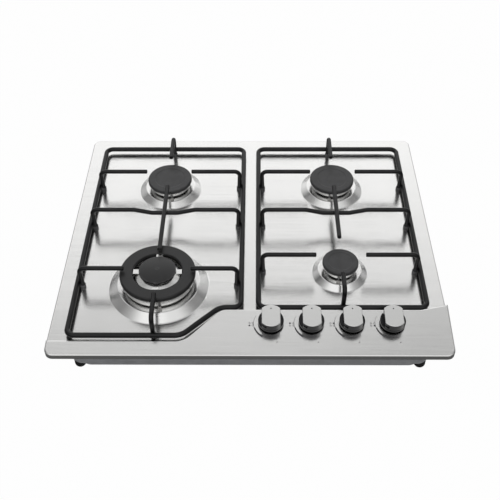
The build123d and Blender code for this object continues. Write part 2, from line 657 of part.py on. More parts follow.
def electrode_ceramic(burner):
    x, y, _ = burner.electrode()
    bottom = burner.under - FLANGE_THICKNESS - CERAMIC_BELOW_FLANGE
    top = burner.spark_level() - CERAMIC_BELOW_SPARK
    collar = burner.under - FLANGE_THICKNESS
    ceramic = post(x, y, CERAMIC_RADIUS, bottom, top)
    ceramic = chamfer(ceramic.edges().group_by(Axis.Z)[-1], 0.8)
    ceramic += post(x, y, CERAMIC_COLLAR_RADIUS, collar - 3, collar)
    return ceramic - post(x, y, PIN_RADIUS + PIN_FIT, bottom - 1, top + 1)


def electrode_pin(burner):
    """The spark pin, bent over at the top towards the crown."""
    x, y, _ = burner.electrode()
    bottom = burner.under - FLANGE_THICKNESS - CERAMIC_BELOW_FLANGE - PIN_BELOW_CERAMIC
    top = burner.spark_level()
    tip = burner.at(burner.crown + 1.2, burner.electrode_angle, top)
    return swept_rod([(x, y, bottom), (x, y, top), tip], PIN_RADIUS, 1.5)


# ================================================================ pan supports
def grate_frame_points(side):
    """Corners of the frame rod and their bends; the left one steps round the knobs."""
    inner, outer = side * GRATE_INNER_X, side * GRATE_OUTER_X
    if side > 0:
        corners = [(inner, GRATE_STEP_Y), (outer, GRATE_STEP_Y), (outer, GRATE_BACK_Y),
                   (inner, GRATE_BACK_Y)]
        return corners, [ROD_CORNER] * 4
    step_x = GRATE_CHAMFER_X + (GRATE_STEP_Y - GRATE_FRONT_Y)
    corners = [(outer, GRATE_FRONT_Y), (GRATE_CHAMFER_X, GRATE_FRONT_Y), (step_x, GRATE_STEP_Y),
               (inner, GRATE_STEP_Y), (inner, GRATE_BACK_Y), (outer, GRATE_BACK_Y)]
    return corners, [ROD_CORNER, CHAMFER_CORNER, CHAMFER_CORNER, ROD_CORNER, ROD_CORNER, ROD_CORNER]


def grate_frame(side):
    """The frame rod, swept from the middle of its back run so that no bend is cut."""
    corners, bends = grate_frame_points(side)
    (x0, y0), (x1, y1) = corners[-2], corners[-1]
    if abs(y0 - y1) > EPS:
        (x0, y0), (x1, y1) = corners[-1], corners[0]
    path = FilletPolyline(*[(x, y, ROD_LEVEL) for x, y in corners], radius=bends, close=True)
    start = max(path.edges().filter_by(GeomType.LINE), key=lambda edge: (edge @ 0.5).Y)
    section = Plane(start @ 0.5, z_dir=start % 0.5) * Circle(ROD_RADIUS)
    return sweep(section, path=path)


def leg_points(rod_point, way):
    """A leg's foot and knee: it stands beside the frame rod, on the side that way points to."""
    foot, knee = LEG_OFFSET, LEG_OFFSET - LEG_LEAN
    return ((rod_point[0] + way[0] * foot, rod_point[1] + way[1] * foot, LEG_BOTTOM),
            (rod_point[0] + way[0] * knee, rod_point[1] + way[1] * knee, BAR_LEVEL))


def finger(rod_point, tip):
    """A bar from its leg's foot on the panel, up past the frame rod and across to its tip."""
    run = hypot(tip[0] - rod_point[0], tip[1] - rod_point[1])
    way = ((tip[0] - rod_point[0]) / run, (tip[1] - rod_point[1]) / run)
    foot, knee = leg_points(rod_point, way)
    bar = swept_rod([foot, knee, (tip[0], tip[1], BAR_LEVEL)], BAR_RADIUS, BAR_BEND)
    nose = bar.faces().filter_by(GeomType.PLANE).sort_by_distance((tip[0], tip[1], BAR_LEVEL))[0]
    return fillet(nose.edges(), BAR_RADIUS * 0.4)


def cross_bar(side):
    """The bar over the middle of a grate; it dips where the long bar crosses over it."""
    ends = sorted((side * GRATE_INNER_X, side * GRATE_OUTER_X))
    low = BAR_LEVEL - BAR_DIP
    centre = side * BURNER_X
    left_foot, left_knee = leg_points((ends[0], CROSS_BAR_Y), (1, 0))
    right_foot, right_knee = leg_points((ends[1], CROSS_BAR_Y), (-1, 0))
    dip = [(centre - BAR_DIP_HALF_WIDTH - BAR_DIP_RUN, BAR_LEVEL), (centre - BAR_DIP_HALF_WIDTH, low),
           (centre + BAR_DIP_HALF_WIDTH, low), (centre + BAR_DIP_HALF_WIDTH + BAR_DIP_RUN, BAR_LEVEL)]
    spots = [left_foot, left_knee] + [(x, CROSS_BAR_Y, z) for x, z in dip] + [right_knee, right_foot]
    return swept_rod(spots, BAR_RADIUS, [BAR_BEND, 8, 8, 8, 8, BAR_BEND])


def long_bar(side):
    """The straight bar that joins the two burners over the cross bar."""
    front = WOK.y + WOK_LONG_BAR_REACH if side < 0 else SIMMER.y + SMALL_BURNER_REACH
    back = REAR_BURNER_Y - SMALL_BURNER_REACH
    middle = Pos(side * BURNER_X, (front + back) / 2, BAR_LEVEL)
    bar = middle * Rot(90, 0, 0) * Cylinder(BAR_RADIUS, back - front)
    return fillet(bar.edges().filter_by(GeomType.CIRCLE), BAR_RADIUS * 0.4)


def grate_fingers(side):
    """Where each finger starts on the frame rod and where its tip ends near a burner."""
    centre = side * BURNER_X
    front_y = WOK.y if side < 0 else SIMMER.y
    reach = WOK_BURNER_REACH if side < 0 else SMALL_BURNER_REACH
    front_rod = GRATE_FRONT_Y if side < 0 else GRATE_STEP_Y
    fingers = [((centre, GRATE_BACK_Y), (centre, REAR_BURNER_Y + SMALL_BURNER_REACH)),
               ((centre, front_rod), (centre, front_y - reach))]
    for rod_x in (side * GRATE_INNER_X, side * GRATE_OUTER_X):
        way = 1 if rod_x > centre else -1
        fingers.append(((rod_x, REAR_BURNER_Y), (centre + way * SMALL_BURNER_REACH, REAR_BURNER_Y)))
        fingers.append(((rod_x, front_y), (centre + way * reach, front_y)))
    return fingers


def grate_bars(side, frame):
    rods = [cross_bar(side) + long_bar(side)]
    rods += [finger(start, tip) for start, tip in grate_fingers(side)]
    return group([rod - frame for rod in rods])


def grate_leg_feet(side):
    feet = []
    for start, tip in grate_fingers(side):
        run = hypot(tip[0] - start[0], tip[1] - start[1])
        feet.append(leg_points(start, ((tip[0] - start[0]) / run, (tip[1] - start[1]) / run))[0])
    inner = leg_points((side * GRATE_INNER_X, CROSS_BAR_Y), (side, 0))[0]
    outer = leg_points((side * GRATE_OUTER_X, CROSS_BAR_Y), (-side, 0))[0]
    return feet + [inner, outer]


def grate_tips(side, bars):
    """Rubber tips on the legs, which stand on the panel."""
    tips = []
    for x, y, _ in grate_leg_feet(side):
        tip = post(x, y, TIP_RADIUS, PANEL_HEIGHT, PANEL_HEIGHT + TIP_HEIGHT)
        tip = fillet(tip.edges().group_by(Axis.Z)[0], 0.8)
        tips.append(tip - bars)
    return group(tips)


# ================================================================ knobs and gas taps
def knob(x):
    """A round knob cut to a grip bar, with a short full-round skirt at its foot."""
    bottom, skirt = KNOB_GAP, KNOB_GAP + KNOB_SKIRT
    top = KNOB_GAP + KNOB_HEIGHT
    body = post(0, 0, KNOB_RADIUS, bottom, skirt)
    body = fillet(body.edges().group_by(Axis.Z)[-1], KNOB_EDGE)
    grip = post(0, 0, KNOB_RADIUS - 0.3, bottom, top)
    grip &= Box(KNOB_GRIP_WIDTH, 3 * KNOB_RADIUS, 3 * top)
    body += fillet(grip.edges().group_by(Axis.Z)[-1], KNOB_EDGE)
    hollow = post(0, 0, KNOB_RADIUS - KNOB_WALL, bottom - 1, skirt - KNOB_WALL)
    deep = post(0, 0, KNOB_RADIUS - 2 * KNOB_WALL, bottom - 1, top - KNOB_WALL)
    deep &= Box(KNOB_GRIP_WIDTH - 2 * KNOB_WALL, 3 * KNOB_RADIUS, 3 * top)
    body -= hollow + deep
    hub_bottom = bottom + KNOB_WALL
    body += post(0, 0, KNOB_HUB_RADIUS, hub_bottom, top - KNOB_WALL / 2)
    body -= d_shaft(SPINDLE_RADIUS + SPINDLE_FIT, SPINDLE_FLAT + SPINDLE_FIT, bottom - 1, spindle_top())
    return on_control(x) * body


def spindle_top():
    return KNOB_GAP + KNOB_WALL + SPINDLE_IN_KNOB - 0.5


def d_shaft(radius, flat, bottom, top):
    keep = Pos(0, flat - 2 * radius, (bottom + top) / 2) * Box(4 * radius, 4 * radius, top - bottom)
    return post(0, 0, radius, bottom, top) & keep


def tap_spindle(x):
    """The shaft between the knob and the plug: a D end, a spring collar and a square tang."""
    collar_bottom = COLLAR_TOP - COLLAR_THICKNESS
    shaft = post(0, 0, SPINDLE_RADIUS, TANG_TOP, KNOB_GAP)
    shaft += d_shaft(SPINDLE_RADIUS, SPINDLE_FLAT, KNOB_GAP, spindle_top())
    shaft += post(0, 0, COLLAR_RADIUS, collar_bottom, COLLAR_TOP)
    tang = Box(2 * TANG_HALF, 2 * TANG_HALF, TANG_TOP - TANG_BOTTOM)
    shaft += Pos(0, 0, (TANG_BOTTOM + TANG_TOP) / 2) * tang
    return on_control(x) * shaft


def plug_radius(s):
    """Radius of the tap's conical bore at the height s along its axis."""
    low, high = TAP_BODY_BOTTOM + TAP_FLOOR, BONNET_TOP - BONNET_THICKNESS
    return PLUG_BOTTOM_RADIUS + (PLUG_TOP_RADIUS - PLUG_BOTTOM_RADIUS) * (s - low) / (high - low)


def plug_top():
    """Top of the plug, clear of the spindle's shoulder when the knob is pressed."""
    return TANG_TOP - KNOB_PRESS - PLUG_HEADROOM


def tap_plug(x):
    """The turning plug with its square socket and the port that opens the gas way."""
    low, high = TAP_BODY_BOTTOM + TAP_FLOOR + PLUG_FIT, plug_top()
    plug = turned([(0, low), (plug_radius(low) - PLUG_FIT, low),
                   (plug_radius(high) - PLUG_FIT, high), (0, high)])
    side = 2 * (TANG_HALF + TANG_FIT)
    socket_floor = TANG_BOTTOM - KNOB_PRESS - PLUG_HEADROOM
    plug -= Pos(0, 0, (socket_floor + high + 1) / 2) * Box(side, side, high + 1 - socket_floor)
    port = Pos(0, 0, low + 4) * Rot(90, 0, 0) * Cylinder(1.6, 4 * PLUG_TOP_RADIUS)
    return on_control(x) * (plug - port)


def tap_level():
    """How far along the tap's axis its gas ways lie, at the height of the pipework."""
    return (GAS_LEVEL - control_height(KNOB_Y)) / cos(radians(CONTROL_TILT))


def tap_centre_y():
    return KNOB_Y - tap_level() * sin(radians(CONTROL_TILT))


def tap_body(x):
    """The tap's housing with its bonnet, the inlet on the rail and the outlet to the burner."""
    bonnet_bottom = BONNET_TOP - BONNET_THICKNESS
    low = TAP_BODY_BOTTOM + TAP_FLOOR
    body = post(0, 0, TAP_BODY_RADIUS, TAP_BODY_BOTTOM, bonnet_bottom)
    depth = BONNET_HALF + BONNET_REAR
    body += Pos(0, (BONNET_REAR - BONNET_HALF) / 2, bonnet_bottom + BONNET_THICKNESS / 2) * Box(
        2 * BONNET_HALF, depth, BONNET_THICKNESS)
    body = on_control(x) * body
    centre = tap_centre_y()
    outlet_y = tap_outlet_y()
    for near, far in ((RAIL_Y, centre), (centre, outlet_y)):
        boss = Rot(90, 0, 0) * Cylinder(TAP_BOSS_RADIUS, far - near)
        body += Pos(x, (near + far) / 2, GAS_LEVEL) * boss
    body -= Pos(x, (RAIL_Y + outlet_y) / 2, GAS_LEVEL) * Rot(90, 0, 0) * Cylinder(
        TUBE_BORE_RADIUS, outlet_y - RAIL_Y + 1)
    cone = turned([(0, low), (plug_radius(low), low), (plug_radius(bonnet_bottom), bonnet_bottom),
                   (0, bonnet_bottom)])
    cone += post(0, 0, SPINDLE_RADIUS + SPINDLE_FIT, bonnet_bottom - 1, BONNET_TOP + 1)
    body -= on_control(x) * cone
    return body - rail_run(RAIL_RADIUS)


def tap_outlet_y():
    return tap_centre_y() + TAP_BODY_RADIUS + 7.0


def return_spring(x):
    """The coil that lifts the pressed knob, between the bonnet and the spindle's collar."""
    bottom = BONNET_TOP + SPRING_WIRE
    height = COLLAR_TOP - COLLAR_THICKNESS - BONNET_TOP - 2 * SPRING_WIRE
    coil = Helix(height / SPRING_TURNS, height, SPRING_RADIUS)
    wire = sweep(Plane(coil @ 0, z_dir=coil % 0) * Circle(SPRING_WIRE), path=coil, is_frenet=True)
    return on_control(x) * Pos(0, 0, bottom) * wire


def spindle_seal(x):
    """The rubber bush that closes the panel's hole round a spindle."""
    bore = SPINDLE_RADIUS + SEAL_BORE_GAP
    neck, lip = SEAL_HOLE_RADIUS, SEAL_HOLE_RADIUS + SEAL_LIP
    seal = turned([(bore, -SHEET - SEAL_THICKNESS), (lip, -SHEET - SEAL_THICKNESS), (lip, -SHEET),
                   (neck, -SHEET), (neck, 0), (lip, 0), (lip - 0.8, SEAL_THICKNESS),
                   (bore, SEAL_THICKNESS)])
    return on_control(x) * seal


# ================================================================ gas pipework
def rail_run(radius):
    end = (RAIL_SIDE_X, INLET_Y - INLET_BODY_RADIUS, GAS_LEVEL)
    points = [(RAIL_START_X, RAIL_Y, GAS_LEVEL), (RAIL_SIDE_X, RAIL_Y, GAS_LEVEL), end]
    return swept_rod(points, radius, RAIL_BEND)


def gas_manifold():
    """The rail that feeds the taps and runs back along the right side to the inlet."""
    rail = rail_run(RAIL_RADIUS) - rail_run(RAIL_RADIUS - RAIL_WALL)
    rail += Pos(RAIL_START_X + 1, RAIL_Y, GAS_LEVEL) * Rot(0, 90, 0) * Cylinder(RAIL_RADIUS, 2)
    for x in KNOB_X:
        rail -= Pos(x, RAIL_Y + RAIL_RADIUS, GAS_LEVEL) * Rot(90, 0, 0) * Cylinder(
            TUBE_BORE_RADIUS, RAIL_RADIUS)
    return rail


def inlet_elbow():
    """The brass elbow: a neck goes through the tray and carries the thread below it."""
    thread_top = TRAY_BOTTOM - INLET_NECK_BELOW_TRAY
    bottom = thread_top - INLET_THREAD_LENGTH
    elbow = post(RAIL_SIDE_X, INLET_Y, INLET_BODY_RADIUS, TRAY_FLOOR, GAS_LEVEL + RAIL_RADIUS + 3)
    elbow += post(RAIL_SIDE_X, INLET_Y, INLET_NECK_RADIUS, thread_top, TRAY_FLOOR)
    elbow += post(RAIL_SIDE_X, INLET_Y, INLET_THREAD_RADIUS, bottom, thread_top)
    boss = Pos(RAIL_SIDE_X, INLET_Y - INLET_BODY_RADIUS - 5, GAS_LEVEL) * Rot(90, 0, 0)
    elbow += boss * Cylinder(RAIL_RADIUS + 2, 2 * INLET_BODY_RADIUS + 2)
    elbow -= post(RAIL_SIDE_X, INLET_Y, INLET_BORE_RADIUS, bottom - 1, GAS_LEVEL + 2)
    elbow -= Pos(RAIL_SIDE_X, INLET_Y - INLET_BODY_RADIUS, GAS_LEVEL) * Rot(90, 0, 0) * Cylinder(
        INLET_SIDE_BORE_RADIUS, 2 * INLET_BODY_RADIUS)
    return elbow - rail_run(RAIL_RADIUS)


def tube_start(x):
    return (x, tap_outlet_y(), GAS_LEVEL)


def tube_end(burner):
    side = gas_side(burner)
    reach = burner.rim + GAS_BOSS_REACH
    return (burner.x + side[0] * reach, burner.y + side[1] * reach, GAS_LEVEL)


def feed_routes():
    """The route of each feed tube from its tap to its burner, left knob first."""
    wok, left, simmer, right = (tube_end(b) for b in (WOK, REAR_LEFT, SIMMER, REAR_RIGHT))
    starts = [tube_start(x) for x in KNOB_X]
    lane = starts[1][1] + TUBE_BEND
    half_way = (starts[2][1] + simmer[1]) / 2
    return {
        "wok_feed_tube": [starts[0], (starts[0][0], wok[1], GAS_LEVEL), wok],
        "rear_left_feed_tube": [starts[1], (starts[1][0], lane, GAS_LEVEL),
                                (0, SIMMER_BURNER_Y + 40, GAS_LEVEL), (0, left[1], GAS_LEVEL), left],
        "simmer_feed_tube": [starts[2], (starts[2][0], half_way - 7, GAS_LEVEL),
                             (simmer[0], half_way + 7, GAS_LEVEL), simmer],
        "rear_right_feed_tube": [starts[3], (starts[3][0], right[1], GAS_LEVEL), right],
    }


def feed_tube(route, name):
    bend = 14.0 if name == "simmer_feed_tube" else TUBE_BEND
    return swept_rod(route, TUBE_RADIUS, bend) - swept_rod(route, TUBE_BORE_RADIUS, bend)


def tube_nut(point, way):
    """A hexagon nut on a feed tube, hard against the boss that it screws to."""
    nut = extrude(RegularPolygon(NUT_FLATS / 2, 6, major_radius=False), NUT_LENGTH)
    nut -= post(0, 0, TUBE_RADIUS + NUT_FIT, -1, NUT_LENGTH + 1)
    return Plane(point, z_dir=(way[0], way[1], 0)) * nut


def tube_nuts():
    nuts = [tube_nut(tube_start(x), (0, 1)) for x in KNOB_X]
    nuts += [tube_nut(tube_end(burner), gas_side(burner)) for burner in BURNERS]
    return group(nuts)


def bracket_places():
    return [(KNOB_X[0] + KNOB_X[1]) / 2, (KNOB_X[2] + KNOB_X[3]) / 2]


def manifold_brackets():
    """Two saddles that carry the rail on the tray's floor."""
    brackets = []
    for x in bracket_places():
        height = GAS_LEVEL - TRAY_FLOOR
        block = Pos(x, RAIL_Y + 2, TRAY_FLOOR + height / 2) * Box(BRACKET_WIDTH, BRACKET_DEPTH, height)
        brackets.append(block - rail_run(RAIL_RADIUS))
    return group(brackets)


# ================================================================ tray
def tray_outline(inset, z):
    """The tray's plan at the height z; its walls draw in towards the floor."""
    depth = (FLANGE_TOP - z) / (FLANGE_TOP - TRAY_BOTTOM)
    draw = inset + TRAY_DRAFT * depth
    plan = RectangleRounded(2 * (TRAY_HALF_WIDTH - draw), 2 * (TRAY_HALF_DEPTH - draw), TRAY_CORNER - draw)
    return Pos(0, 0, z) * plan


def pad_block(sx, sy, inset, low, high):
    """A block with sloping inner sides, from below the tray up to the pad."""
    faces = []
    for z, run in ((low + inset, 0), (high, PAD_SLOPE_RUN)):
        near_x, near_y = PAD_X - inset + run, PAD_Y - inset + run
        far_x, far_y = TRAY_HALF_WIDTH + 10, TRAY_HALF_DEPTH + 10
        faces.append(Pos(sx * (near_x + far_x) / 2, sy * (near_y + far_y) / 2, z) * Rectangle(
            far_x - near_x, far_y - near_y))
    block = loft(faces, ruled=True)
    skirt = extrude(faces[0], -2 * PAD_RISE)
    return block + skirt


def tray_body(inset, bottom, top):
    body = loft([tray_outline(inset, bottom), tray_outline(inset, top)], ruled=True)
    body = fillet(body.edges().group_by(Axis.Z)[0], TRAY_ROUND - inset)
    for sx in (-1, 1):
        for sy in (-1, 1):
            body -= pad_block(sx, sy, inset, TRAY_BOTTOM, PAD_BOTTOM + inset)
    return body


def battery_window():
    return (BATTERY_LENGTH + 2 * BATTERY_FIT, 2 * (BATTERY_RADIUS + BATTERY_FIT))


def vent_places():
    middle = (VENT_COUNT - 1) / 2
    places = []
    for x in (-PANEL_WIDTH / 8, PANEL_WIDTH / 8):
        places += [(x, CROSS_BAR_Y + (i - middle) * VENT_PITCH) for i in range(VENT_COUNT)]
    return places


def bottom_tray():
    tray = tray_body(0, TRAY_BOTTOM, FLANGE_TOP)
    flange_corner = TRAY_CORNER + (FLANGE_HALF_DEPTH - TRAY_HALF_DEPTH)
    tray += rounded_prism(FLANGE_HALF_WIDTH, FLANGE_HALF_DEPTH, flange_corner,
                          FLANGE_TOP - SHEET, FLANGE_TOP)
    tray -= tray_body(SHEET, TRAY_FLOOR, FLANGE_TOP + 1)
    for x, y in rim_screw_places():
        tray -= post(x, y, BURNER_SCREW_RADIUS + SCREW_HOLE_GAP, FLANGE_TOP - 3, FLANGE_TOP + 3)
    for sx in (-1, 1):
        for sy in (-1, 1):
            tray -= post(sx * FOOT_X, sy * FOOT_Y, FOOT_NECK_RADIUS, TRAY_BOTTOM, PAD_FLOOR + 1)
            tray -= post(sx * CLAMP_SPACING_X / 2, sy * CLAMP_SPACING_Y / 2, CLAMP_HOLE_RADIUS,
                         TRAY_BOTTOM - 1, TRAY_FLOOR + 1)
    tray -= post(RAIL_SIDE_X, INLET_Y, INLET_THREAD_RADIUS + 0.5, TRAY_BOTTOM - 1, TRAY_FLOOR + 1)
    length, width = battery_window()
    tray -= Pos(BATTERY_X, BATTERY_Y, TRAY_BOTTOM) * Box(length, width, 4 * SHEET)
    vent = extrude(SlotOverall(VENT_LENGTH, VENT_WIDTH), 4 * SHEET, both=True)
    for x, y in vent_places():
        tray -= Pos(x, y, TRAY_BOTTOM) * vent
    return tray


def tray_screws():
    """Pan-head screws up through the tray's flange into the bosses under the top."""
    screws = []
    for x, y in rim_screw_places():
        under = FLANGE_TOP - SHEET
        head = post(x, y, SCREW_HEAD_RADIUS, under - SCREW_HEAD_HEIGHT, under)
        head = fillet(head.edges().group_by(Axis.Z)[0], 0.8)
        slot = Pos(x, y, under - SCREW_HEAD_HEIGHT) * (Box(4.4, 0.9, 1.6) + Box(0.9, 4.4, 1.6))
        shank = post(x, y, BURNER_SCREW_RADIUS, under - 0.5, FLANGE_TOP + BOSS_HEIGHT - 1)
        screws.append(head + shank - slot)
    return group(screws)


def rubber_feet():
    """Push-in feet: a head inside the tray, a neck through its floor and a rounded bumper."""
    bottom = PAD_BOTTOM - FOOT_HEIGHT
    foot = turned([(0, bottom), (FOOT_RADIUS, bottom), (FOOT_RADIUS, PAD_BOTTOM),
                   (FOOT_NECK_RADIUS, PAD_BOTTOM), (FOOT_NECK_RADIUS, PAD_FLOOR),
                   (FOOT_HEAD_RADIUS, PAD_FLOOR), (FOOT_NECK_RADIUS, PAD_FLOOR + FOOT_HEAD_HEIGHT),
                   (0, PAD_FLOOR + FOOT_HEAD_HEIGHT)],
                  [0, FOOT_ROUND, 0.5, 0, 0, 0, 0, 0])
    return group([Pos(sx * FOOT_X, sy * FOOT_Y, 0) * foot for sx in (-1, 1) for sy in (-1, 1)])


# ================================================================ ignition electrics
def spark_generator():
    """The sealed box that makes the sparks, on two feet, with one terminal a burner."""
    width, depth, height = GENERATOR_SIZE
    box = Pos(0, GENERATOR_Y, TRAY_FLOOR + height / 2) * Box(width, depth, height)
    box = fillet(box.edges().filter_by(Axis.Z), 3.0)
    foot = Box(width + 2 * GENERATOR_FOOT, depth * 0.4, 2.5)
    box += Pos(0, GENERATOR_Y, TRAY_FLOOR + 1.25) * foot
    for x in terminal_places():
        face = GENERATOR_Y - depth / 2
        box += Pos(x, face - TERMINAL_LENGTH / 2, LEAD_LEVEL - 6) * Rot(90, 0, 0) * Cylinder(
            TERMINAL_RADIUS, TERMINAL_LENGTH)
    return box


def terminal_places():
    return [TERMINAL_PITCH * (i - (KNOB_COUNT - 1) / 2) for i in range(KNOB_COUNT)]


def terminal_point(i):
    return (terminal_places()[i], GENERATOR_Y - GENERATOR_SIZE[1] / 2 - TERMINAL_LENGTH, LEAD_LEVEL - 6)


def lead_bottom(burner):
    return burner.under - FLANGE_THICKNESS - CERAMIC_BELOW_FLANGE - PIN_BELOW_CERAMIC - 3


def ignition_lead(burner, terminal, way):
    """A silicone lead from its boot under the electrode to its terminal."""
    x, y, _ = burner.electrode()
    end = terminal_point(terminal)
    near = (end[0], end[1] - 10, end[2])
    ceramic_end = burner.under - FLANGE_THICKNESS - CERAMIC_BELOW_FLANGE
    points = [(x, y, lead_bottom(burner)), (x, y, LEAD_LEVEL)] + [(px, py, LEAD_LEVEL) for px, py in way]
    points += [near, end]
    route = FilletPolyline(*points, radius=lead_bends(points))
    lead = sweep(Plane(route @ 0, z_dir=route % 0) * Circle(LEAD_RADIUS), path=route)
    boot = post(x, y, BOOT_RADIUS, lead_bottom(burner), ceramic_end)
    pin_end = ceramic_end - PIN_BELOW_CERAMIC
    return lead + boot - post(x, y, PIN_RADIUS + PIN_FIT, pin_end - 0.5, ceramic_end + 1)


def lead_bends(points):
    """The largest bend at each corner that its two runs leave room for."""
    bends = []
    for before, corner, after in zip(points, points[1:], points[2:]):
        back = Vector(*before) - Vector(*corner)
        on = Vector(*after) - Vector(*corner)
        turn = radians(180 - back.get_angle(on))
        bends.append(min(LEAD_BEND, 0.45 * min(back.length, on.length) / tan(turn / 2)))
    return bends


def ignition_leads():
    """The four leads, each round the burners and over the gas tubes."""
    ways = [
        (REAR_LEFT, 0, [(-108, 62), (-48, 104)]),
        (WOK, 1, [(-96, -182), (-60, -150), (-36, -40), (-24, 84)]),
        (SIMMER, 2, [(104, -128), (66, -96), (38, 20), (26, 90)]),
        (REAR_RIGHT, 3, [(108, 62), (48, 104)]),
    ]
    return group([ignition_lead(burner, terminal, way) for burner, terminal, way in ways])


def switch_place():
    return BONNET_REAR - SWITCH_SIZE[1] / 2


def ignition_harness():
    """Four switches, one on each tap, on one loom that ends at the spark generator."""
    width, depth, height = SWITCH_SIZE
    pieces = []
    for x in KNOB_X:
        box = Pos(0, switch_place(), BONNET_TOP + height / 2) * Box(width, depth, height)
        pieces.append(on_control(x) * box)
    starts = [on_control(x).from_local_coords((0, BONNET_REAR, BONNET_TOP + height / 2)) for x in KNOB_X]
    for left, right in zip(starts, starts[1:]):
        near, far = left.X + width / 4, right.X - width / 4
        loop = left.Y + 9
        points = [(near, left.Y - 1, left.Z), (near, loop, left.Z), (far, loop, left.Z),
                  (far, left.Y - 1, left.Z)]
        pieces.append(swept_rod(points, WIRE_RADIUS, 6))
    loom = pieces[0]
    for piece in pieces[1:]:
        loom += piece
    first = starts[0]
    edge = GENERATOR_Y - GENERATOR_SIZE[1] / 2
    points = [(first.X - width / 2 + 1, first.Y - 4, first.Z), (-14, first.Y - 4, first.Z),
              (-14, first.Y + 30, WIRE_LEVEL), (-14, edge, WIRE_LEVEL)]
    loom += swept_rod(points, WIRE_RADIUS, [8, 30])
    return loom


def battery_holder():
    """A moulded box that is open below, over the tray's window."""
    length, width = battery_window()
    top = TRAY_FLOOR + width + BATTERY_WALL
    box = Pos(BATTERY_X, BATTERY_Y, (TRAY_FLOOR + top) / 2) * Box(
        length + 2 * BATTERY_WALL, width + 2 * BATTERY_WALL, top - TRAY_FLOOR)
    box = fillet(box.edges().filter_by(Axis.Z), 2.0)
    return box - Pos(BATTERY_X, BATTERY_Y, (TRAY_FLOOR + top) / 2 - BATTERY_WALL) * Box(
        length, width, top - TRAY_FLOOR)


def battery():
    level = TRAY_FLOOR + BATTERY_RADIUS
    body = Cylinder(BATTERY_RADIUS, BATTERY_LENGTH - BATTERY_NIPPLE_LENGTH)
    body = fillet(body.edges().filter_by(GeomType.CIRCLE), 1.0)
    body += Pos(0, 0, (BATTERY_LENGTH - BATTERY_NIPPLE_LENGTH) / 2) * Cylinder(
        BATTERY_NIPPLE_RADIUS, 2 * BATTERY_NIPPLE_LENGTH)
    shift = BATTERY_NIPPLE_LENGTH / 2
    return Pos(BATTERY_X - shift, BATTERY_Y, level) * Rot(0, 90, 0) * body


def battery_door():
    """The lid under the tray that closes the battery's window."""
    length, width = battery_window()
    lid = Pos(BATTERY_X, BATTERY_Y, TRAY_BOTTOM - DOOR_THICKNESS / 2) * Box(
        length + 2 * DOOR_MARGIN, width + 2 * DOOR_MARGIN, DOOR_THICKNESS)
    lid = fillet(lid.edges().filter_by(Axis.Z), 3.0)
    lid += Pos(BATTERY_X, BATTERY_Y, TRAY_BOTTOM + SHEET / 2) * Box(
        length - 2 * BATTERY_FIT, width - 2 * BATTERY_FIT, SHEET)
    return lid


# ================================================================ build and export
def build_nodes():
    nodes = {
        "hob_top": hob_top(),
        "worktop_seal": worktop_seal(),
        "bottom_tray": bottom_tray(),
        "tray_screws": tray_screws(),
        "rubber_feet": rubber_feet(),
        "gas_manifold": gas_manifold(),
        "inlet_elbow": inlet_elbow(),
        "manifold_brackets": manifold_brackets(),
        "tap_bodies": group([tap_body(x) for x in KNOB_X]),
        "spindle_seals": group([spindle_seal(x) for x in KNOB_X]),
        "tube_nuts": tube_nuts(),
        "spark_generator": spark_generator(),
        "ignition_leads": ignition_leads(),
        "ignition_harness": ignition_harness(),
        "battery_holder": battery_holder(),
        "battery": battery(),
        "battery_door": battery_door(),
        "gas_jets": group([gas_jet(b, offset) for b in BURNERS for offset in jet_centres(b)]),
        "burner_screws": group([burner_screw(b, place) for b in BURNERS for place in screw_places(b)]),
        "electrode_ceramics": group([electrode_ceramic(b) for b in BURNERS]),
        "electrode_pins": group([electrode_pin(b) for b in BURNERS]),
        "wok_crown": wok_crown(),
        "wok_ring_cap": wok_ring_cap(),
        "wok_centre_cap": wok_centre_cap(),
    }
    for burner in BURNERS:
        nodes[burner.name + "_burner_base"] = burner_base(burner)
    for burner in SMALL_BURNERS:
        nodes[burner.name + "_crown"] = small_crown(burner)
        nodes[burner.name + "_cap"] = small_cap(burner)
    for name, route in feed_routes().items():
        nodes[name] = feed_tube(route, name)
    for side, name in ((-1, "left"), (1, "right")):
        frame = grate_frame(side)
        bars = grate_bars(side, frame)
        nodes[name + "_grate_frame"] = frame
        nodes[name + "_grate_bars"] = bars
        nodes[name + "_grate_tips"] = grate_tips(side, bars)
    for number, x in enumerate(KNOB_X, start=1):
        nodes[f"knob_{number}"] = knob(x)
        nodes[f"tap_spindle_{number}"] = tap_spindle(x)
        nodes[f"tap_plug_{number}"] = tap_plug(x)
        nodes[f"return_spring_{number}"] = return_spring(x)
    return nodes


os.makedirs("parts", exist_ok=True)
for node_name, shape in build_nodes().items():
    export_step(shape, f"parts/{node_name}.step")
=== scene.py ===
"""Dresses the four-burner gas cooktop with its metals, enamel, rubber and printed marks."""

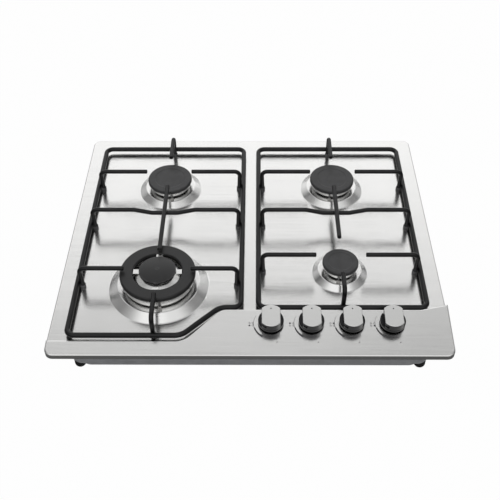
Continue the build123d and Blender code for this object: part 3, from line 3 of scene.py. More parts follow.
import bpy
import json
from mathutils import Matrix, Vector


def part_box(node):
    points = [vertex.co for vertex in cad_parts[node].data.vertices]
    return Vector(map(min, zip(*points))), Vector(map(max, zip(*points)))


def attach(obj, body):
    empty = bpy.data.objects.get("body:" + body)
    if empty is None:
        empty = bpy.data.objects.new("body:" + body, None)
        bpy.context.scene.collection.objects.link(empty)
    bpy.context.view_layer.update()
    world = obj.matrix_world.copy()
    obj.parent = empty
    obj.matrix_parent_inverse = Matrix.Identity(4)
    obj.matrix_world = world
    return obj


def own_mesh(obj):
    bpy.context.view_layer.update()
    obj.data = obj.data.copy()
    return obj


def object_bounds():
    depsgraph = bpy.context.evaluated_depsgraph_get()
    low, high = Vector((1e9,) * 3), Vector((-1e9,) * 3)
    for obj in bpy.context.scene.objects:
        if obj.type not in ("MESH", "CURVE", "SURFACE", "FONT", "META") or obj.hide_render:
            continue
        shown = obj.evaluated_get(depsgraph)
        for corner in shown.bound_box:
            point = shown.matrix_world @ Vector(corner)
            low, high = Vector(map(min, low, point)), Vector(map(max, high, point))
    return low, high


bl_info = {
    "name": "Gas Cooktop",
    "version": (1, 0, 0),
    "blender": (4, 5, 0),
    "location": "View3D > Sidebar > Cooktop",
    "description": "Finishes and printed marks of a four-burner gas cooktop, with its studio",
    "category": "Object",
}

import json
import math

import bmesh
import bpy
from mathutils import Matrix, Vector
from mathutils.bvhtree import BVHTree

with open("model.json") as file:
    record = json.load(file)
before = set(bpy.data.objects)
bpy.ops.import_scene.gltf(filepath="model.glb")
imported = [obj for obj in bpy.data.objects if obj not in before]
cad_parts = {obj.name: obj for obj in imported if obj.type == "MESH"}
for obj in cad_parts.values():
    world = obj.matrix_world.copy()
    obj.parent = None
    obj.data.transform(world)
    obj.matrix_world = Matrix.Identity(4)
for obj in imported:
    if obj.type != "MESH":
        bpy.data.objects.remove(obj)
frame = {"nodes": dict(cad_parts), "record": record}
CAD_LOW, CAD_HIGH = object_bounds()

HOB = "hob"
TAPS = [1, 2, 3, 4]
KNOBS = [f"knob_{tap}" for tap in TAPS]
BURNERS = ["rear_left", "rear_right", "simmer", "wok"]
SIDES = ["left", "right"]
JOINTS = {joint["name"]: joint for joint in frame["record"]["behaviour"]["joints"]}

# Metres above its turning point at which a knob has its face's finish in full, just below the face itself
FACE_HEIGHT = 0.0192
# Metres, front to back: the band, straight across the whole width, over which the brushing
# changes from the control zone's to the plate's
CONTROL_EDGE = (-0.172, -0.16)

# Printed marks, in metres and degrees from a knob's middle; MAP_STEP is in shares of the map's width
MAP_PLACE = (-0.0285, -0.0015)
MAP_STEP = (0.32, 0.26)
ARC_SPAN = (196.0, 241.0)
ARC_THIN_END = 0.0018
TAIL_SPAN = (150.0, 196.0)
TAIL_WIDTHS = (0.0003, 0.0007)
TAIL_OUT = 0.0004
END_MARK = (0.0085, -0.0305)
END_MARK_RADIUS = 0.0008
# Rays that find the surface under a mark start this high above the worktop plane
PROBE_HEIGHT = 0.2

# The floor lies this far below the lowest foot
FLOOR_GAP = 0.0005
FLOOR_RINGS = (0.15, 0.4, 0.7, 1.0)


# Sizes and colours that a user would change

def colour_property(name, description, default):
    return bpy.props.FloatVectorProperty(
        name=name, description=description, subtype="COLOR", size=4, min=0.0, max=1.0, default=default
    )


def length_property(name, description, default):
    return bpy.props.FloatProperty(
        name=name, description=description, default=default, min=0.0, unit="LENGTH"
    )


def share_property(name, description, default):
    return bpy.props.FloatProperty(
        name=name, description=description, default=default, min=0.0, max=1.0, subtype="FACTOR"
    )


def power_property(name, description, default):
    return bpy.props.FloatProperty(name=name, description=description, default=default, min=0.0)


class CooktopMetals(bpy.types.PropertyGroup):
    steel: colour_property("Steel", "Colour of the brushed steel top", (0.78, 0.778, 0.77, 1.0))
    steel_roughness: share_property("Steel roughness", "Sheen of the steel along its grain", 0.18)
    grain_depth: share_property("Grain depth", "Spread of reflections across the grain", 0.55)
    control_grain_depth: share_property("Control grain depth", "The same spread in the control zone", 0.3)
    knob: colour_property("Knob face", "Colour of the knobs' satin faces", (0.79, 0.79, 0.78, 1.0))
    # The knobs' walls are plated like their faces: this near-black colour is a painted dark reflection.
    knob_wall_painted_reflection: colour_property("Knob wall", "Colour of the knobs' dark walls", (0.014, 0.014, 0.015, 1.0))
    aluminium: colour_property("Aluminium", "Colour of the crowns and bases", (0.83, 0.83, 0.82, 1.0))
    brass: colour_property("Brass", "Colour of the jets, nuts and plugs", (0.76, 0.56, 0.27, 1.0))
    zinc: colour_property("Zinc plate", "Colour of the plated steel parts", (0.62, 0.63, 0.65, 1.0))
    sheet: colour_property("Grey sheet", "Colour of the tray below the worktop", (0.52, 0.53, 0.55, 1.0))


class CooktopBlacks(bpy.types.PropertyGroup):
    rod_enamel: colour_property("Rod enamel", "Colour of the pan supports", (0.005, 0.005, 0.0055, 1.0))
    cap_enamel: colour_property("Cap enamel", "Colour of the burner caps", (0.03, 0.03, 0.031, 1.0))
    rubber: colour_property("Rubber", "Colour of the rubber feet and seals", (0.022, 0.022, 0.022, 1.0))
    tip_rubber: colour_property("Tip rubber", "Colour of the supports' tips", (0.11, 0.11, 0.113, 1.0))
    plastic: colour_property("Plastic", "Colour of the moulded plastic parts", (0.03, 0.03, 0.032, 1.0))


class CooktopMarks(bpy.types.PropertyGroup):
    ink: colour_property("Ink", "Colour of the printed marks", (0.045, 0.045, 0.047, 1.0))
    ink_height: length_property("Ink height", "How far a printed mark stands off the steel", 0.00006)
    dot_radius: length_property("Pointer dot", "Radius of the dot on a knob's face", 0.00105)
    dot_back: length_property("Dot place", "How far behind the knob's middle the dot lies", 0.0103)
    arc_radius: length_property("Flame arc", "Radius of the arc that shows the flame's size", 0.0247)
    arc_width: length_property("Arc width", "Width of the flame arc at its wide end", 0.0034)
    map_side: length_property("Burner map", "Width of the four-dot burner map", 0.0074)


class CooktopStudio(bpy.types.PropertyGroup):
    floor_radius: length_property("Floor", "Radius of the pale floor", 3.2)
    floor_white: share_property("Floor white", "How white the floor shows to the camera", 0.988)
    key_power: power_property("Key lamp", "Power of the large lamp above, in watts", 17.0)
    fill_power: power_property("Fill lamp", "Power of the lamp in front, in watts", 5.0)
    plain_light: share_property("Room light", "Level of the even light around the object", 0.5)


SETTINGS = {
    "cooktop_metals": CooktopMetals,
    "cooktop_blacks": CooktopBlacks,
    "cooktop_marks": CooktopMarks,
    "cooktop_studio": CooktopStudio,
}


# Shader sums

class Wire:
    """A socket of a node tree that adds, multiplies and compares like a number."""

    def __init__(self, tree, socket):
        self.tree = tree
        self.socket = socket

    def maths(self, operation, *values, **settings):
        sockets = dict(enumerate(values))
        return self.tree.node("ShaderNodeMath", {"operation": operation, **settings}, sockets)

    def __add__(self, other):
        return self.maths("ADD", self, other)

    __radd__ = __add__

    def __sub__(self, other):
        return self.maths("SUBTRACT", self, other)

    def __rsub__(self, other):
        return self.maths("SUBTRACT", other, self)

    def __mul__(self, other):
        return self.maths("MULTIPLY", self, other)

    __rmul__ = __mul__

    def __truediv__(self, other):
        return self.maths("DIVIDE", self, other)

    def __or__(self, other):
        return self.maths("MAXIMUM", self, other)

    def clamped(self):
        return self.maths("ADD", self, 0.0, use_clamp=True)

    def smooth(self, low, high):
        """0 below low and 1 above high, with a soft step between them."""
        return self.tree.node(
            "ShaderNodeMapRange",
            {"interpolation_type": "SMOOTHSTEP"},
            {"Value": self, "From Min": low, "From Max": high},
        )


class Nodes:
    """The node tree of a material or of the world."""

    def __init__(self, owner):
        owner.use_nodes = True
        self.tree = owner.node_tree

    def feed(self, socket, value):
        if isinstance(value, Wire):
            self.tree.links.new(value.socket, socket)
        else:
            socket.default_value = value

    def node(self, kind, settings=None, sockets=None, output=0):
        """Adds a node, with its settings made first, then its sockets, and gives one of its outputs."""
        made = self.tree.nodes.new(kind)
        for name, value in (settings or {}).items():
            if name == "stops":
                self.set_stops(made.color_ramp, value)
            else:
                setattr(made, name, value)
        for name, value in (sockets or {}).items():
            self.feed(made.inputs[name], value)
        return Wire(self, made.outputs[output])

    def set_stops(self, ramp, stops):
        while len(ramp.elements) < len(stops):
            ramp.elements.new(0.5)
        for element, (place, level) in zip(ramp.elements, stops):
            element.position = place
            element.color = (level, level, level, 1.0)

    def mix(self, factor, first, second):
        """A colour that goes from first to second."""
        settings = {"data_type": "RGBA"}
        return self.node("ShaderNodeMix", settings, {0: factor, 6: first, 7: second}, output=2)

    def split(self, vector):
        return [self.node("ShaderNodeSeparateXYZ", None, {0: vector}, output=axis) for axis in range(3)]

    def join(self, x, y, z):
        return self.node("ShaderNodeCombineXYZ", None, {0: x, 1: y, 2: z})

    def vector(self, operation, first, second=None):
        sockets = {0: first} if second is None else {0: first, 1: second}
        return self.node("ShaderNodeVectorMath", {"operation": operation}, sockets)

    def ramp(self, factor, stops):
        return self.node("ShaderNodeValToRGB", {"stops": stops}, {0: factor})


class Finish(Nodes):
    """A material with a Principled shader, patterned by places on the cooktop itself."""

    def __init__(self, name, colour, metallic=0.0, roughness=0.5, **levels):
        self.material = bpy.data.materials.new(name)
        super().__init__(self.material)
        self.shader = self.tree.nodes["Principled BSDF"]
        self.colour = tuple(colour)
        self.material.diffuse_color = self.colour
        self.level("Base Color", self.colour)
        self.level("Metallic", metallic)
        self.level("Roughness", roughness)
        for name, value in levels.items():
            self.level(name.replace("_", " ").title().replace("Ior", "IOR"), value)
        self.places = self.node("ShaderNodeTexCoord", output="Object")

    def level(self, socket, value):
        self.feed(self.shader.inputs[socket], value)

    def tint(self, share):
        """The material's own colour, lighter or darker by a share."""
        return tuple(min(1.0, part * share) for part in self.colour[:3]) + (1.0,)

    def stretched(self, x, y, z):
        return self.vector("MULTIPLY", self.places, (x, y, z))

    def noise(self, x, y=None, z=None, detail=3.0, roughness=0.55):
        places = self.stretched(x, x if y is None else y, x if z is None else z)
        sockets = {"Vector": places, "Scale": 1.0, "Detail": detail, "Roughness": roughness}
        return self.node("ShaderNodeTexNoise", None, sockets)

    def cells(self, scale):
        sockets = {"Vector": self.stretched(scale, scale, scale), "Scale": 1.0}
        return self.node("ShaderNodeTexVoronoi", None, sockets)

    def relief(self, height, depth):
        """Raises the surface by height times depth, in metres."""
        sockets = {"Strength": 1.0, "Distance": depth, "Height": height}
        self.level("Normal", self.node("ShaderNodeBump", None, sockets))

    def worn_edges(self, low=0.52, high=0.6):
        """1 on sharp outer edges, broken up by fine noise."""
        pointed = self.node("ShaderNodeNewGeometry", output="Pointiness")
        return pointed.smooth(low, high) * self.noise(420.0).smooth(0.4, 0.62)

    def put_on(self, *names):
        for name in names:
            dress(frame["nodes"][name], self.material)
        return self


def dress(piece, material):
    piece.data.materials.clear()
    piece.data.materials.append(material)


# Finishes

def brushed_steel(name, colour, roughness, depth, control_depth, pitch=36000.0):
    """Steel brushed from left to right: it spreads reflections across the grain, less in front."""
    steel = Finish(name, colour, metallic=1.0, roughness=roughness)
    fine = steel.noise(9.0, pitch, pitch, detail=1.0)
    broad = steel.noise(3.0, pitch / 60.0, pitch / 60.0, detail=2.0)
    hazy = steel.noise(7.0, detail=2.0)
    scratch = steel.noise(5.0, pitch / 32.0, pitch / 32.0, detail=0.0).smooth(0.72, 0.8)
    streaks = (fine * 0.6 + broad * 0.4).smooth(0.3, 0.7)
    steel.level("Base Color", steel.mix(streaks * 0.5 + hazy * 0.3, steel.tint(0.97), steel.tint(1.025)))
    steel.level("Roughness", (roughness - 0.02) + 0.01 * broad + 0.02 * hazy + 0.02 * scratch)
    normal = steel.node("ShaderNodeNewGeometry", output="Normal")
    behind = steel.split(steel.places)[1].smooth(*CONTROL_EDGE)
    brushing = behind * (depth - control_depth) + control_depth
    across = (fine - 0.5) * brushing + (broad - 0.5) * (depth * 0.004)
    tipped = steel.vector("ADD", normal, steel.join(0.0, across, 0.0))
    steel.level("Normal", steel.vector("NORMALIZE", tipped))
    return steel


def knob_metal(name, colour, painted_wall_reflection, roughness=0.24):
    """A knob's satin face, with walls and skirt in painted reflection: near-black, paler where they face
    right or left.
    """
    metal = Finish(name, colour, metallic=1.0, roughness=roughness)
    turn = JOINTS["tap_1_turn"]
    from_pivot = metal.vector("SUBTRACT", metal.places, turn["pos_m"])
    product = {0: from_pivot, 1: turn["axis"]}
    height = metal.node("ShaderNodeVectorMath", {"operation": "DOT_PRODUCT"}, product, output="Value")
    face = height.smooth(0.96 * FACE_HEIGHT, FACE_HEIGHT)
    lines = metal.noise(60.0, 5200.0, 5200.0, detail=1.0)
    hazy = metal.noise(90.0)
    satin = metal.mix(lines * 0.5 + hazy * 0.4, metal.tint(0.93), metal.tint(1.05))
    normal = metal.node("ShaderNodeNewGeometry", output="Normal")
    aside = metal.split(normal)[0]
    # Painted reflection: walls and skirt are painted paler where they face right, and a little where they
    # face left.
    painted_side_reflection = aside.smooth(0.35, 0.95) * 0.8 + (aside * -1.0).smooth(0.5, 1.0) * 0.3
    # Painted dark reflection: walls and skirt are near-black, though plated like the face.
    wall = metal.mix(painted_side_reflection + hazy * 0.06, painted_wall_reflection, metal.tint(0.6))
    metal.level("Base Color", metal.mix(face, wall, satin))
    metal.level("Roughness", 0.1 + face * (roughness - 0.1) + 0.05 * hazy)
    tipped = metal.vector("ADD", normal, metal.join(0.0, (lines - 0.5) * 0.05, 0.0))
    metal.level("Normal", metal.vector("NORMALIZE", tipped))
    return metal


def cast_metal(name, colour, roughness=0.36, grain=0.00004, metallic=1.0):
    """Die-cast or sand-cast metal: a fine skin with duller patches and bright corners."""
    cast = Finish(name, colour, metallic=metallic, roughness=roughness)
    skin = cast.noise(1700.0, detail=3.0, roughness=0.65)
    patch = cast.noise(120.0)
    edge = cast.worn_edges()
    body = cast.mix(patch * 0.7 + skin * 0.3, cast.tint(0.84), cast.tint(1.05))
    cast.level("Base Color", cast.mix(edge * 0.5, body, cast.tint(1.15)))
    cast.level("Roughness", (roughness - 0.08) + 0.16 * patch + 0.06 * skin)
    cast.relief(skin, grain)
    return cast


def turned_metal(name, colour, roughness=0.28):
    """Turned or drawn metal with faint tool marks and a little tarnish."""
    turned = Finish(name, colour, metallic=1.0, roughness=roughness)
    marks = turned.noise(300.0, 300.0, 5200.0, detail=1.0)
    tarnish = turned.noise(260.0, detail=4.0)
    turned.level("Base Color", turned.mix(tarnish.smooth(0.35, 0.75), turned.tint(1.04), turned.tint(0.78)))
    turned.level("Roughness", (roughness - 0.05) + 0.1 * tarnish + 0.06 * marks)
    turned.relief(marks, 0.00001)
    return turned


def rod_enamel(name, colour, roughness=0.3, wear=0.25):
    """Black enamel on steel rod: glossy, with orange peel and a greyer bloom."""
    enamel = Finish(name, colour, roughness=roughness, specular_ior_level=0.32)
    peel = enamel.noise(900.0, detail=2.0)
    bloom = enamel.noise(55.0, detail=4.0, roughness=0.6)
    speck = enamel.noise(2600.0, detail=1.0).smooth(0.66, 0.74)
    body = enamel.mix(bloom.smooth(0.35, 0.75), enamel.tint(0.7), enamel.tint(1.9))
    worn = (speck + enamel.worn_edges()) * wear
    enamel.level("Base Color", enamel.mix(worn, body, (0.06, 0.06, 0.0625, 1.0)))
    enamel.level("Roughness", (roughness - 0.06) + 0.12 * bloom + 0.06 * speck)
    enamel.relief(peel, 0.00006)
    return enamel


def cap_enamel(name, colour, roughness=0.5):
    """Matt vitreous enamel of a burner cap, with its fine pebble and paler rim."""
    enamel = Finish(name, colour, roughness=roughness, specular_ior_level=0.5)
    pebble = enamel.noise(1500.0, detail=3.0, roughness=0.6)
    cloud = enamel.noise(70.0, detail=3.0)
    body = enamel.mix(cloud.smooth(0.3, 0.7) * 0.6 + pebble * 0.4, enamel.tint(0.72), enamel.tint(1.4))
    enamel.level("Base Color", enamel.mix(enamel.worn_edges() * 0.35, body, (0.11, 0.11, 0.115, 1.0)))
    enamel.level("Roughness", (roughness - 0.08) + 0.12 * cloud + 0.08 * pebble)
    enamel.relief(pebble, 0.00005)
    return enamel


def moulded_rubber(name, colour, roughness=0.78):
    """Moulded rubber with a dusty bloom and a fine skin."""
    rubber = Finish(name, colour, roughness=roughness, specular_ior_level=0.3)
    dust = rubber.noise(150.0, detail=4.0)
    skin = rubber.noise(3000.0, detail=2.0)
    rubber.level("Base Color", rubber.mix(dust.smooth(0.35, 0.8), rubber.tint(0.8), rubber.tint(1.7)))
    rubber.level("Roughness", (roughness - 0.1) + 0.14 * dust + 0.06 * skin)
    rubber.relief(skin, 0.00004)
    return rubber


def foam(name, colour):
    """Closed-cell foam strip."""
    strip = Finish(name, colour, roughness=0.9, specular_ior_level=0.2)
    cells = strip.cells(1300.0)
    strip.level("Base Color", strip.mix(cells.smooth(0.1, 0.7), strip.tint(1.8), strip.tint(0.6)))
    strip.level("Roughness", 0.82 + 0.12 * cells)
    strip.relief(cells, 0.0001)
    return strip


def zinc_sheet(name, colour, roughness=0.42, metallic=0.75):
    """Plated sheet with its faint crystal pattern and rolling streaks."""
    sheet = Finish(name, colour, metallic=metallic, roughness=roughness)
    crystal = sheet.cells(95.0)
    streak = sheet.noise(12.0, 240.0, 240.0)
    grain = sheet.noise(1900.0, detail=2.0)
    body = sheet.mix(crystal * 0.5 + streak * 0.5, sheet.tint(0.82), sheet.tint(1.14))
    sheet.level("Base Color", sheet.mix(sheet.worn_edges() * 0.5, body, sheet.tint(1.35)))
    sheet.level("Roughness", (roughness - 0.1) + 0.14 * crystal + 0.1 * streak)
    sheet.relief(grain, 0.00003)
    return sheet


def glazed_ceramic(name, colour):
    """White alumina with a thin glaze and a few grey specks."""
    ceramic = Finish(name, colour, roughness=0.25, coat_weight=0.4, coat_roughness=0.08)
    speck = ceramic.noise(2400.0, detail=1.0).smooth(0.66, 0.72)
    warm = ceramic.noise(200.0)
    body = ceramic.mix(warm, ceramic.tint(0.93), ceramic.tint(1.03))
    ceramic.level("Base Color", ceramic.mix(speck, body, (0.35, 0.34, 0.32, 1.0)))
    ceramic.level("Roughness", 0.2 + 0.12 * warm)
    ceramic.relief(warm, 0.00002)
    return ceramic


def moulded_plastic(name, colour, roughness=0.5):
    """Moulded plastic with a spark-eroded texture."""
    plastic = Finish(name, colour, roughness=roughness)
    grain = plastic.noise(2200.0, detail=2.0)
    flow = plastic.noise(40.0, detail=3.0)
    body = plastic.mix(flow * 0.6 + grain * 0.4, plastic.tint(0.75), plastic.tint(1.35))
    plastic.level("Base Color", body)
    plastic.level("Roughness", (roughness - 0.08) + 0.1 * grain + 0.08 * flow)
    plastic.relief(grain, 0.00005)
    return plastic


def battery_wrap(name, colour):
    """Plain printed sleeve of a battery: a dark end, a pale ring and a body in the sleeve's colour."""
    wrap = Finish(name, colour, roughness=0.3, coat_weight=0.5, coat_roughness=0.1)
    low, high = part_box("battery")
    along = max(range(3), key=lambda axis: high[axis] - low[axis])
    share = (wrap.split(wrap.places)[along] - low[along]) / (high[along] - low[along])
    band = share.smooth(0.7, 0.71)
    ring = share.smooth(0.66, 0.665) - share.smooth(0.68, 0.685)
    scuff = wrap.noise(500.0, detail=3.0)
    body = wrap.mix(scuff, wrap.tint(0.9), wrap.tint(1.15))
    banded = wrap.mix(band, body, (0.03, 0.032, 0.036, 1.0))
    wrap.level("Base Color", wrap.mix(ring, banded, (0.62, 0.6, 0.55, 1.0)))
    wrap.level("Roughness", 0.24 + 0.14 * scuff)
    wrap.relief(scuff, 0.00001)
    return wrap


def printed_ink(name, colour):
    """Screen-printed ink, slightly uneven."""
    ink = Finish(name, colour, roughness=0.55)
    cover = ink.noise(2600.0, detail=2.0)
    ink.level("Base Color", ink.mix(cover.smooth(0.45, 0.75), ink.tint(1.0), ink.tint(2.2)))
    ink.level("Roughness", 0.48 + 0.14 * cover)
    ink.relief(cover, 0.00001)
    return ink


# Printed marks

class Skin:
    """The surface of a node, seen from above, on which ink lies."""

    def __init__(self, node):
        mesh = frame["nodes"][node].data
        corners = [vertex.co.copy() for vertex in mesh.vertices]
        self.tree = BVHTree.FromPolygons(corners, [tuple(face.vertices) for face in mesh.polygons])

    def point(self, x, y, lift):
        """The point of the surface under x, y, moved off it by lift."""
        place, normal, _, _ = self.tree.ray_cast(Vector((x, y, PROBE_HEIGHT)), Vector((0.0, 0.0, -1.0)))
        if place is None:
            raise ValueError(f"no surface under {x:.4f}, {y:.4f}")
        return place + normal * lift


def disc(x, y, radius, sides=28):
    """A round spot: its outline points, from the middle out."""
    rim = [math.tau * i / sides for i in range(sides)]
    points = [(x, y)]
    points += [(x + radius * math.cos(a), y + radius * math.sin(a)) for a in rim]
    faces = [(0, i + 1, (i + 1) % sides + 1) for i in range(sides)]
    return points, faces


def band(x, y, radius, widths, start, end, steps=36):
    """A curved stroke round x, y whose width goes from the first of widths to the last."""
    points = []
    for i in range(steps + 1):
        share = i / steps
        angle = math.radians(start + (end - start) * share)
        half = (widths[0] + (widths[-1] - widths[0]) * share) / 2
        points += [
            (x + (radius + side * half) * math.cos(angle), y + (radius + side * half) * math.sin(angle))
            for side in (-1, 1)
        ]
    faces = [(2 * i, 2 * i + 1, 2 * i + 3, 2 * i + 2) for i in range(steps)]
    return points, faces


def print_marks(name, skin, shapes, height, body):
    """Lays flat shapes on a surface as one printed layer with a real thickness."""
    mesh = bpy.data.meshes.new(name)
    built = bmesh.new()
    for points, faces in shapes:
        top = [built.verts.new(skin.point(x, y, height)) for x, y in points]
        foot = [built.verts.new(skin.point(x, y, -height / 3)) for x, y in points]
        edges = {}
        for face in faces:
            built.faces.new([top[i] for i in face])
            built.faces.new([foot[i] for i in reversed(face)])
            for a, b in zip(face, face[1:] + face[:1]):
                edges[(a, b)] = True
        for a, b in edges:
            if (b, a) not in edges:
                built.faces.new([top[b], top[a], foot[a], foot[b]])
    bmesh.ops.recalc_face_normals(built, faces=built.faces)
    built.to_mesh(mesh)
    built.free()
    layer = bpy.data.objects.new(name, mesh)
    bpy.context.scene.collection.objects.link(layer)
    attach(layer, body)
    return layer


def knob_centre(node):
    low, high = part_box(node)
    return (low.x + high.x) / 2, (low.y + high.y) / 2


def close_springs():
    """Works out each return spring's closing by its knob's travel, but only gives the spring its own mesh.
    """
    for tap in TAPS:
        spring = frame["nodes"][f"return_spring_{tap}"]
        press = JOINTS[f"knob_{tap}_press"]
        pivot, axis = Vector(JOINTS[f"tap_{tap}_turn"]["pos_m"]), Vector(press["axis"])
        heights = [(spring.matrix_world @ vertex.co - pivot).dot(axis) for vertex in spring.data.vertices]
        low, high = min(heights), max(heights)
        keep = 1.0 + press["range_m"][0] / (high - low)
        pivot + axis * low
        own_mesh(spring)


# Studio

def studio_light(sky, facing):
    """What metal mirrors: a pale wall behind, soft panels overhead and a dim room low at the sides."""
    x, y, z = sky.split(facing)
    across = sky.node("ShaderNodeMath", {"operation": "ARCTAN2"}, {0: z, 1: y})
    round_share = (across / math.pi).clamped()
    panels = sky.ramp(round_share, STUDIO_PANELS)
    side = x.maths("ABSOLUTE", x).smooth(0.38, 0.72)
    low = 1.0 - z.smooth(0.08, 0.4)
    away_from_wall = 1.0 - y.smooth(0.1, 0.6)
    dim_right = x.smooth(0.02, 0.25) * z.smooth(0.8, 0.9)
    dimmed = (1.0 - side * 0.55) * (1.0 - low * away_from_wall * 0.75) * (1.0 - dim_right * 0.2)
    return panels * dimmed * STUDIO_GAIN


STUDIO_GAIN = 1.35
STUDIO_PANELS = [
    (0.0, 0.75),
    (0.12, 0.9),
    (0.2, 0.95),
    (0.24, 0.85),
    (0.262, 0.68),
    (0.28, 0.42),
    (0.325, 0.42),
    (0.345, 0.7),
    (0.38, 0.66),
    (0.395, 0.36),
    (0.46, 0.36),
    (0.53, 0.65),
    (0.6, 0.85),
    (0.68, 0.8),
    (1.0, 0.5),
]


def build_world(studio):
    world = bpy.data.worlds.new("studio_room")
    bpy.context.scene.world = world
    sky = Nodes(world)
    output = sky.tree.nodes["World Output"]
    background = sky.tree.nodes["Background"]
    facing = sky.node("ShaderNodeTexCoord", output="Generated")
    seen = sky.node("ShaderNodeLightPath", output="Is Camera Ray")
    mirrored = sky.node("ShaderNodeLightPath", output="Is Glossy Ray")
    through = sky.node("ShaderNodeLightPath", output="Is Transmission Ray")
    room = studio.plain_light
    reflected = mirrored | through
    shine = studio_light(sky, facing)
    colour = sky.mix(reflected, (room, room, room, 1.0), shine)
    sky.feed(background.inputs["Color"], sky.mix(seen, colour, (1.0, 1.0, 1.0, 1.0)))
    sky.feed(background.inputs["Strength"], 1.0)
    sky.tree.links.new(background.outputs[0], output.inputs["Surface"])


def floor_material(studio):
    """Pale floor: white to the camera with a soft shadow; in nearby reflections a dull dark table, as
    painted shade round the object.
    """
    material = bpy.data.materials.new("pale_floor")
    floor = Nodes(material)
    floor.tree.nodes.remove(floor.tree.nodes["Principled BSDF"])
    output = floor.tree.nodes["Material Output"]
    places = floor.node("ShaderNodeTexCoord", output="Object")
    distance = floor.node("ShaderNodeVectorMath", {"operation": "LENGTH"}, {0: places}, output="Value")
    far = distance.smooth(0.7, 2.4)
    grain = floor.node("ShaderNodeTexNoise", None, {"Vector": places, "Scale": 420.0})
    table_and_painted_shade = floor.mix(grain, (0.12, 0.12, 0.12, 1.0), (0.14, 0.14, 0.14, 1.0))
    matt = floor.node("ShaderNodeBsdfDiffuse", None, {"Color": table_and_painted_shade})
    white = floor.node("ShaderNodeEmission", None, {"Color": (1.0, 1.0, 1.0, 1.0), "Strength": 1.0})
    seen = floor.node("ShaderNodeLightPath", output="Is Camera Ray")
    mirrored = floor.node("ShaderNodeLightPath", output="Is Glossy Ray")
    through = floor.node("ShaderNodeLightPath", output="Is Transmission Ray")
    # Near the object, reflections see the dark table as painted shade of the object; farther off they see
    # white.
    share = seen * studio.floor_white + (mirrored | through) * far * 0.8
    mixed = floor.node("ShaderNodeMixShader", None, {0: share, 1: matt, 2: white})
    floor.feed(output.inputs["Surface"], mixed)
    return material


def build_floor(studio):
    mesh = bpy.data.meshes.new("floor")
    built = bmesh.new()
    rings = [studio.floor_radius * share for share in FLOOR_RINGS]
    bmesh.ops.create_circle(built, cap_ends=True, radius=rings[0], segments=96)
    for radius in rings[1:]:
        edge = [e for e in built.edges if e.is_boundary]
        grown = bmesh.ops.extrude_edge_only(built, edges=edge)["geom"]
        for vertex in (part for part in grown if isinstance(part, bmesh.types.BMVert)):
            vertex.co = vertex.co.normalized() * radius
    built.to_mesh(mesh)
    built.free()
    floor = bpy.data.objects.new("floor", mesh)
    floor.location.z = CAD_LOW.z - FLOOR_GAP
    bpy.context.scene.collection.objects.link(floor)
    dress(floor, floor_material(studio))


def add_lamp(name, place, size, power):
    lamp = bpy.data.lights.new(name, "AREA")
    lamp.shape = "RECTANGLE"
    lamp.size, lamp.size_y = size
    lamp.energy = power
    holder = bpy.data.objects.new(name, lamp)
    holder.location = place
    holder.rotation_mode = "QUATERNION"
    holder.rotation_quaternion = (-Vector(place)).to_track_quat("-Z", "Y")
    holder.visible_camera = False
    holder.visible_glossy = False
    bpy.context.scene.collection.objects.link(holder)


CAMERA_PLACE = (0.0110, -0.9271, 0.8836)
CAMERA_DOWN = 44.59
CAMERA_TURN = 0.74
CAMERA_ROLL = -0.47
CAMERA_LENS = 56.42


def camera_frame():
    """The camera's axes from its turn, its dip below level and its roll."""
    turn, dip, roll = (math.radians(a) for a in (CAMERA_TURN, CAMERA_DOWN, CAMERA_ROLL))
    right = Vector((math.cos(turn), math.sin(turn), 0.0))
    ahead = Vector((-math.sin(turn), math.cos(turn), 0.0))
    view = ahead * math.cos(dip) - Vector((0.0, 0.0, math.sin(dip)))
    down = -ahead * math.sin(dip) - Vector((0.0, 0.0, math.cos(dip)))
    axis_x = right * math.cos(roll) - down * math.sin(roll)
    axis_y = -(right * math.sin(roll) + down * math.cos(roll))
    axes = Matrix((axis_x, axis_y, -view)).transposed()
    return Matrix.Translation(Vector(CAMERA_PLACE)) @ axes.to_4x4()


def build_camera():
    data = bpy.data.cameras.new("camera")
    data.lens = CAMERA_LENS
    data.sensor_width = 36.0
    data.clip_start = 0.01
    data.clip_end = 50.0
    camera = bpy.data.objects.new("camera", data)
    camera.matrix_world = camera_frame()
    bpy.context.scene.collection.objects.link(camera)
    bpy.context.scene.camera = camera


# Operators

class COOKTOP_OT_top(bpy.types.Operator):
    """Brushes the steel top, and finishes the seal under its rim"""

    bl_idname = "cooktop.top"
    bl_label = "Steel top"

    def execute(self, context):
        metals = context.scene.cooktop_metals
        depths = metals.grain_depth, metals.control_grain_depth
        steel = brushed_steel("steel_top", metals.steel, metals.steel_roughness, *depths)
        steel.put_on("hob_top")
        foam("rim_foam", context.scene.cooktop_blacks.rubber).put_on("worktop_seal")
        return {"FINISHED"}


class COOKTOP_OT_pan_supports(bpy.types.Operator):
    """Enamels the rods of the pan supports and finishes their rubber tips"""

    bl_idname = "cooktop.pan_supports"
    bl_label = "Pan supports"

    def execute(self, context):
        blacks = context.scene.cooktop_blacks
        rods = rod_enamel("rod_enamel", blacks.rod_enamel)
        rods.put_on(*[f"{side}_grate_{part}" for side in SIDES for part in ("frame", "bars")])
        tips = moulded_rubber("tip_rubber", blacks.tip_rubber)
        tips.put_on(*[f"{side}_grate_tips" for side in SIDES])
        return {"FINISHED"}


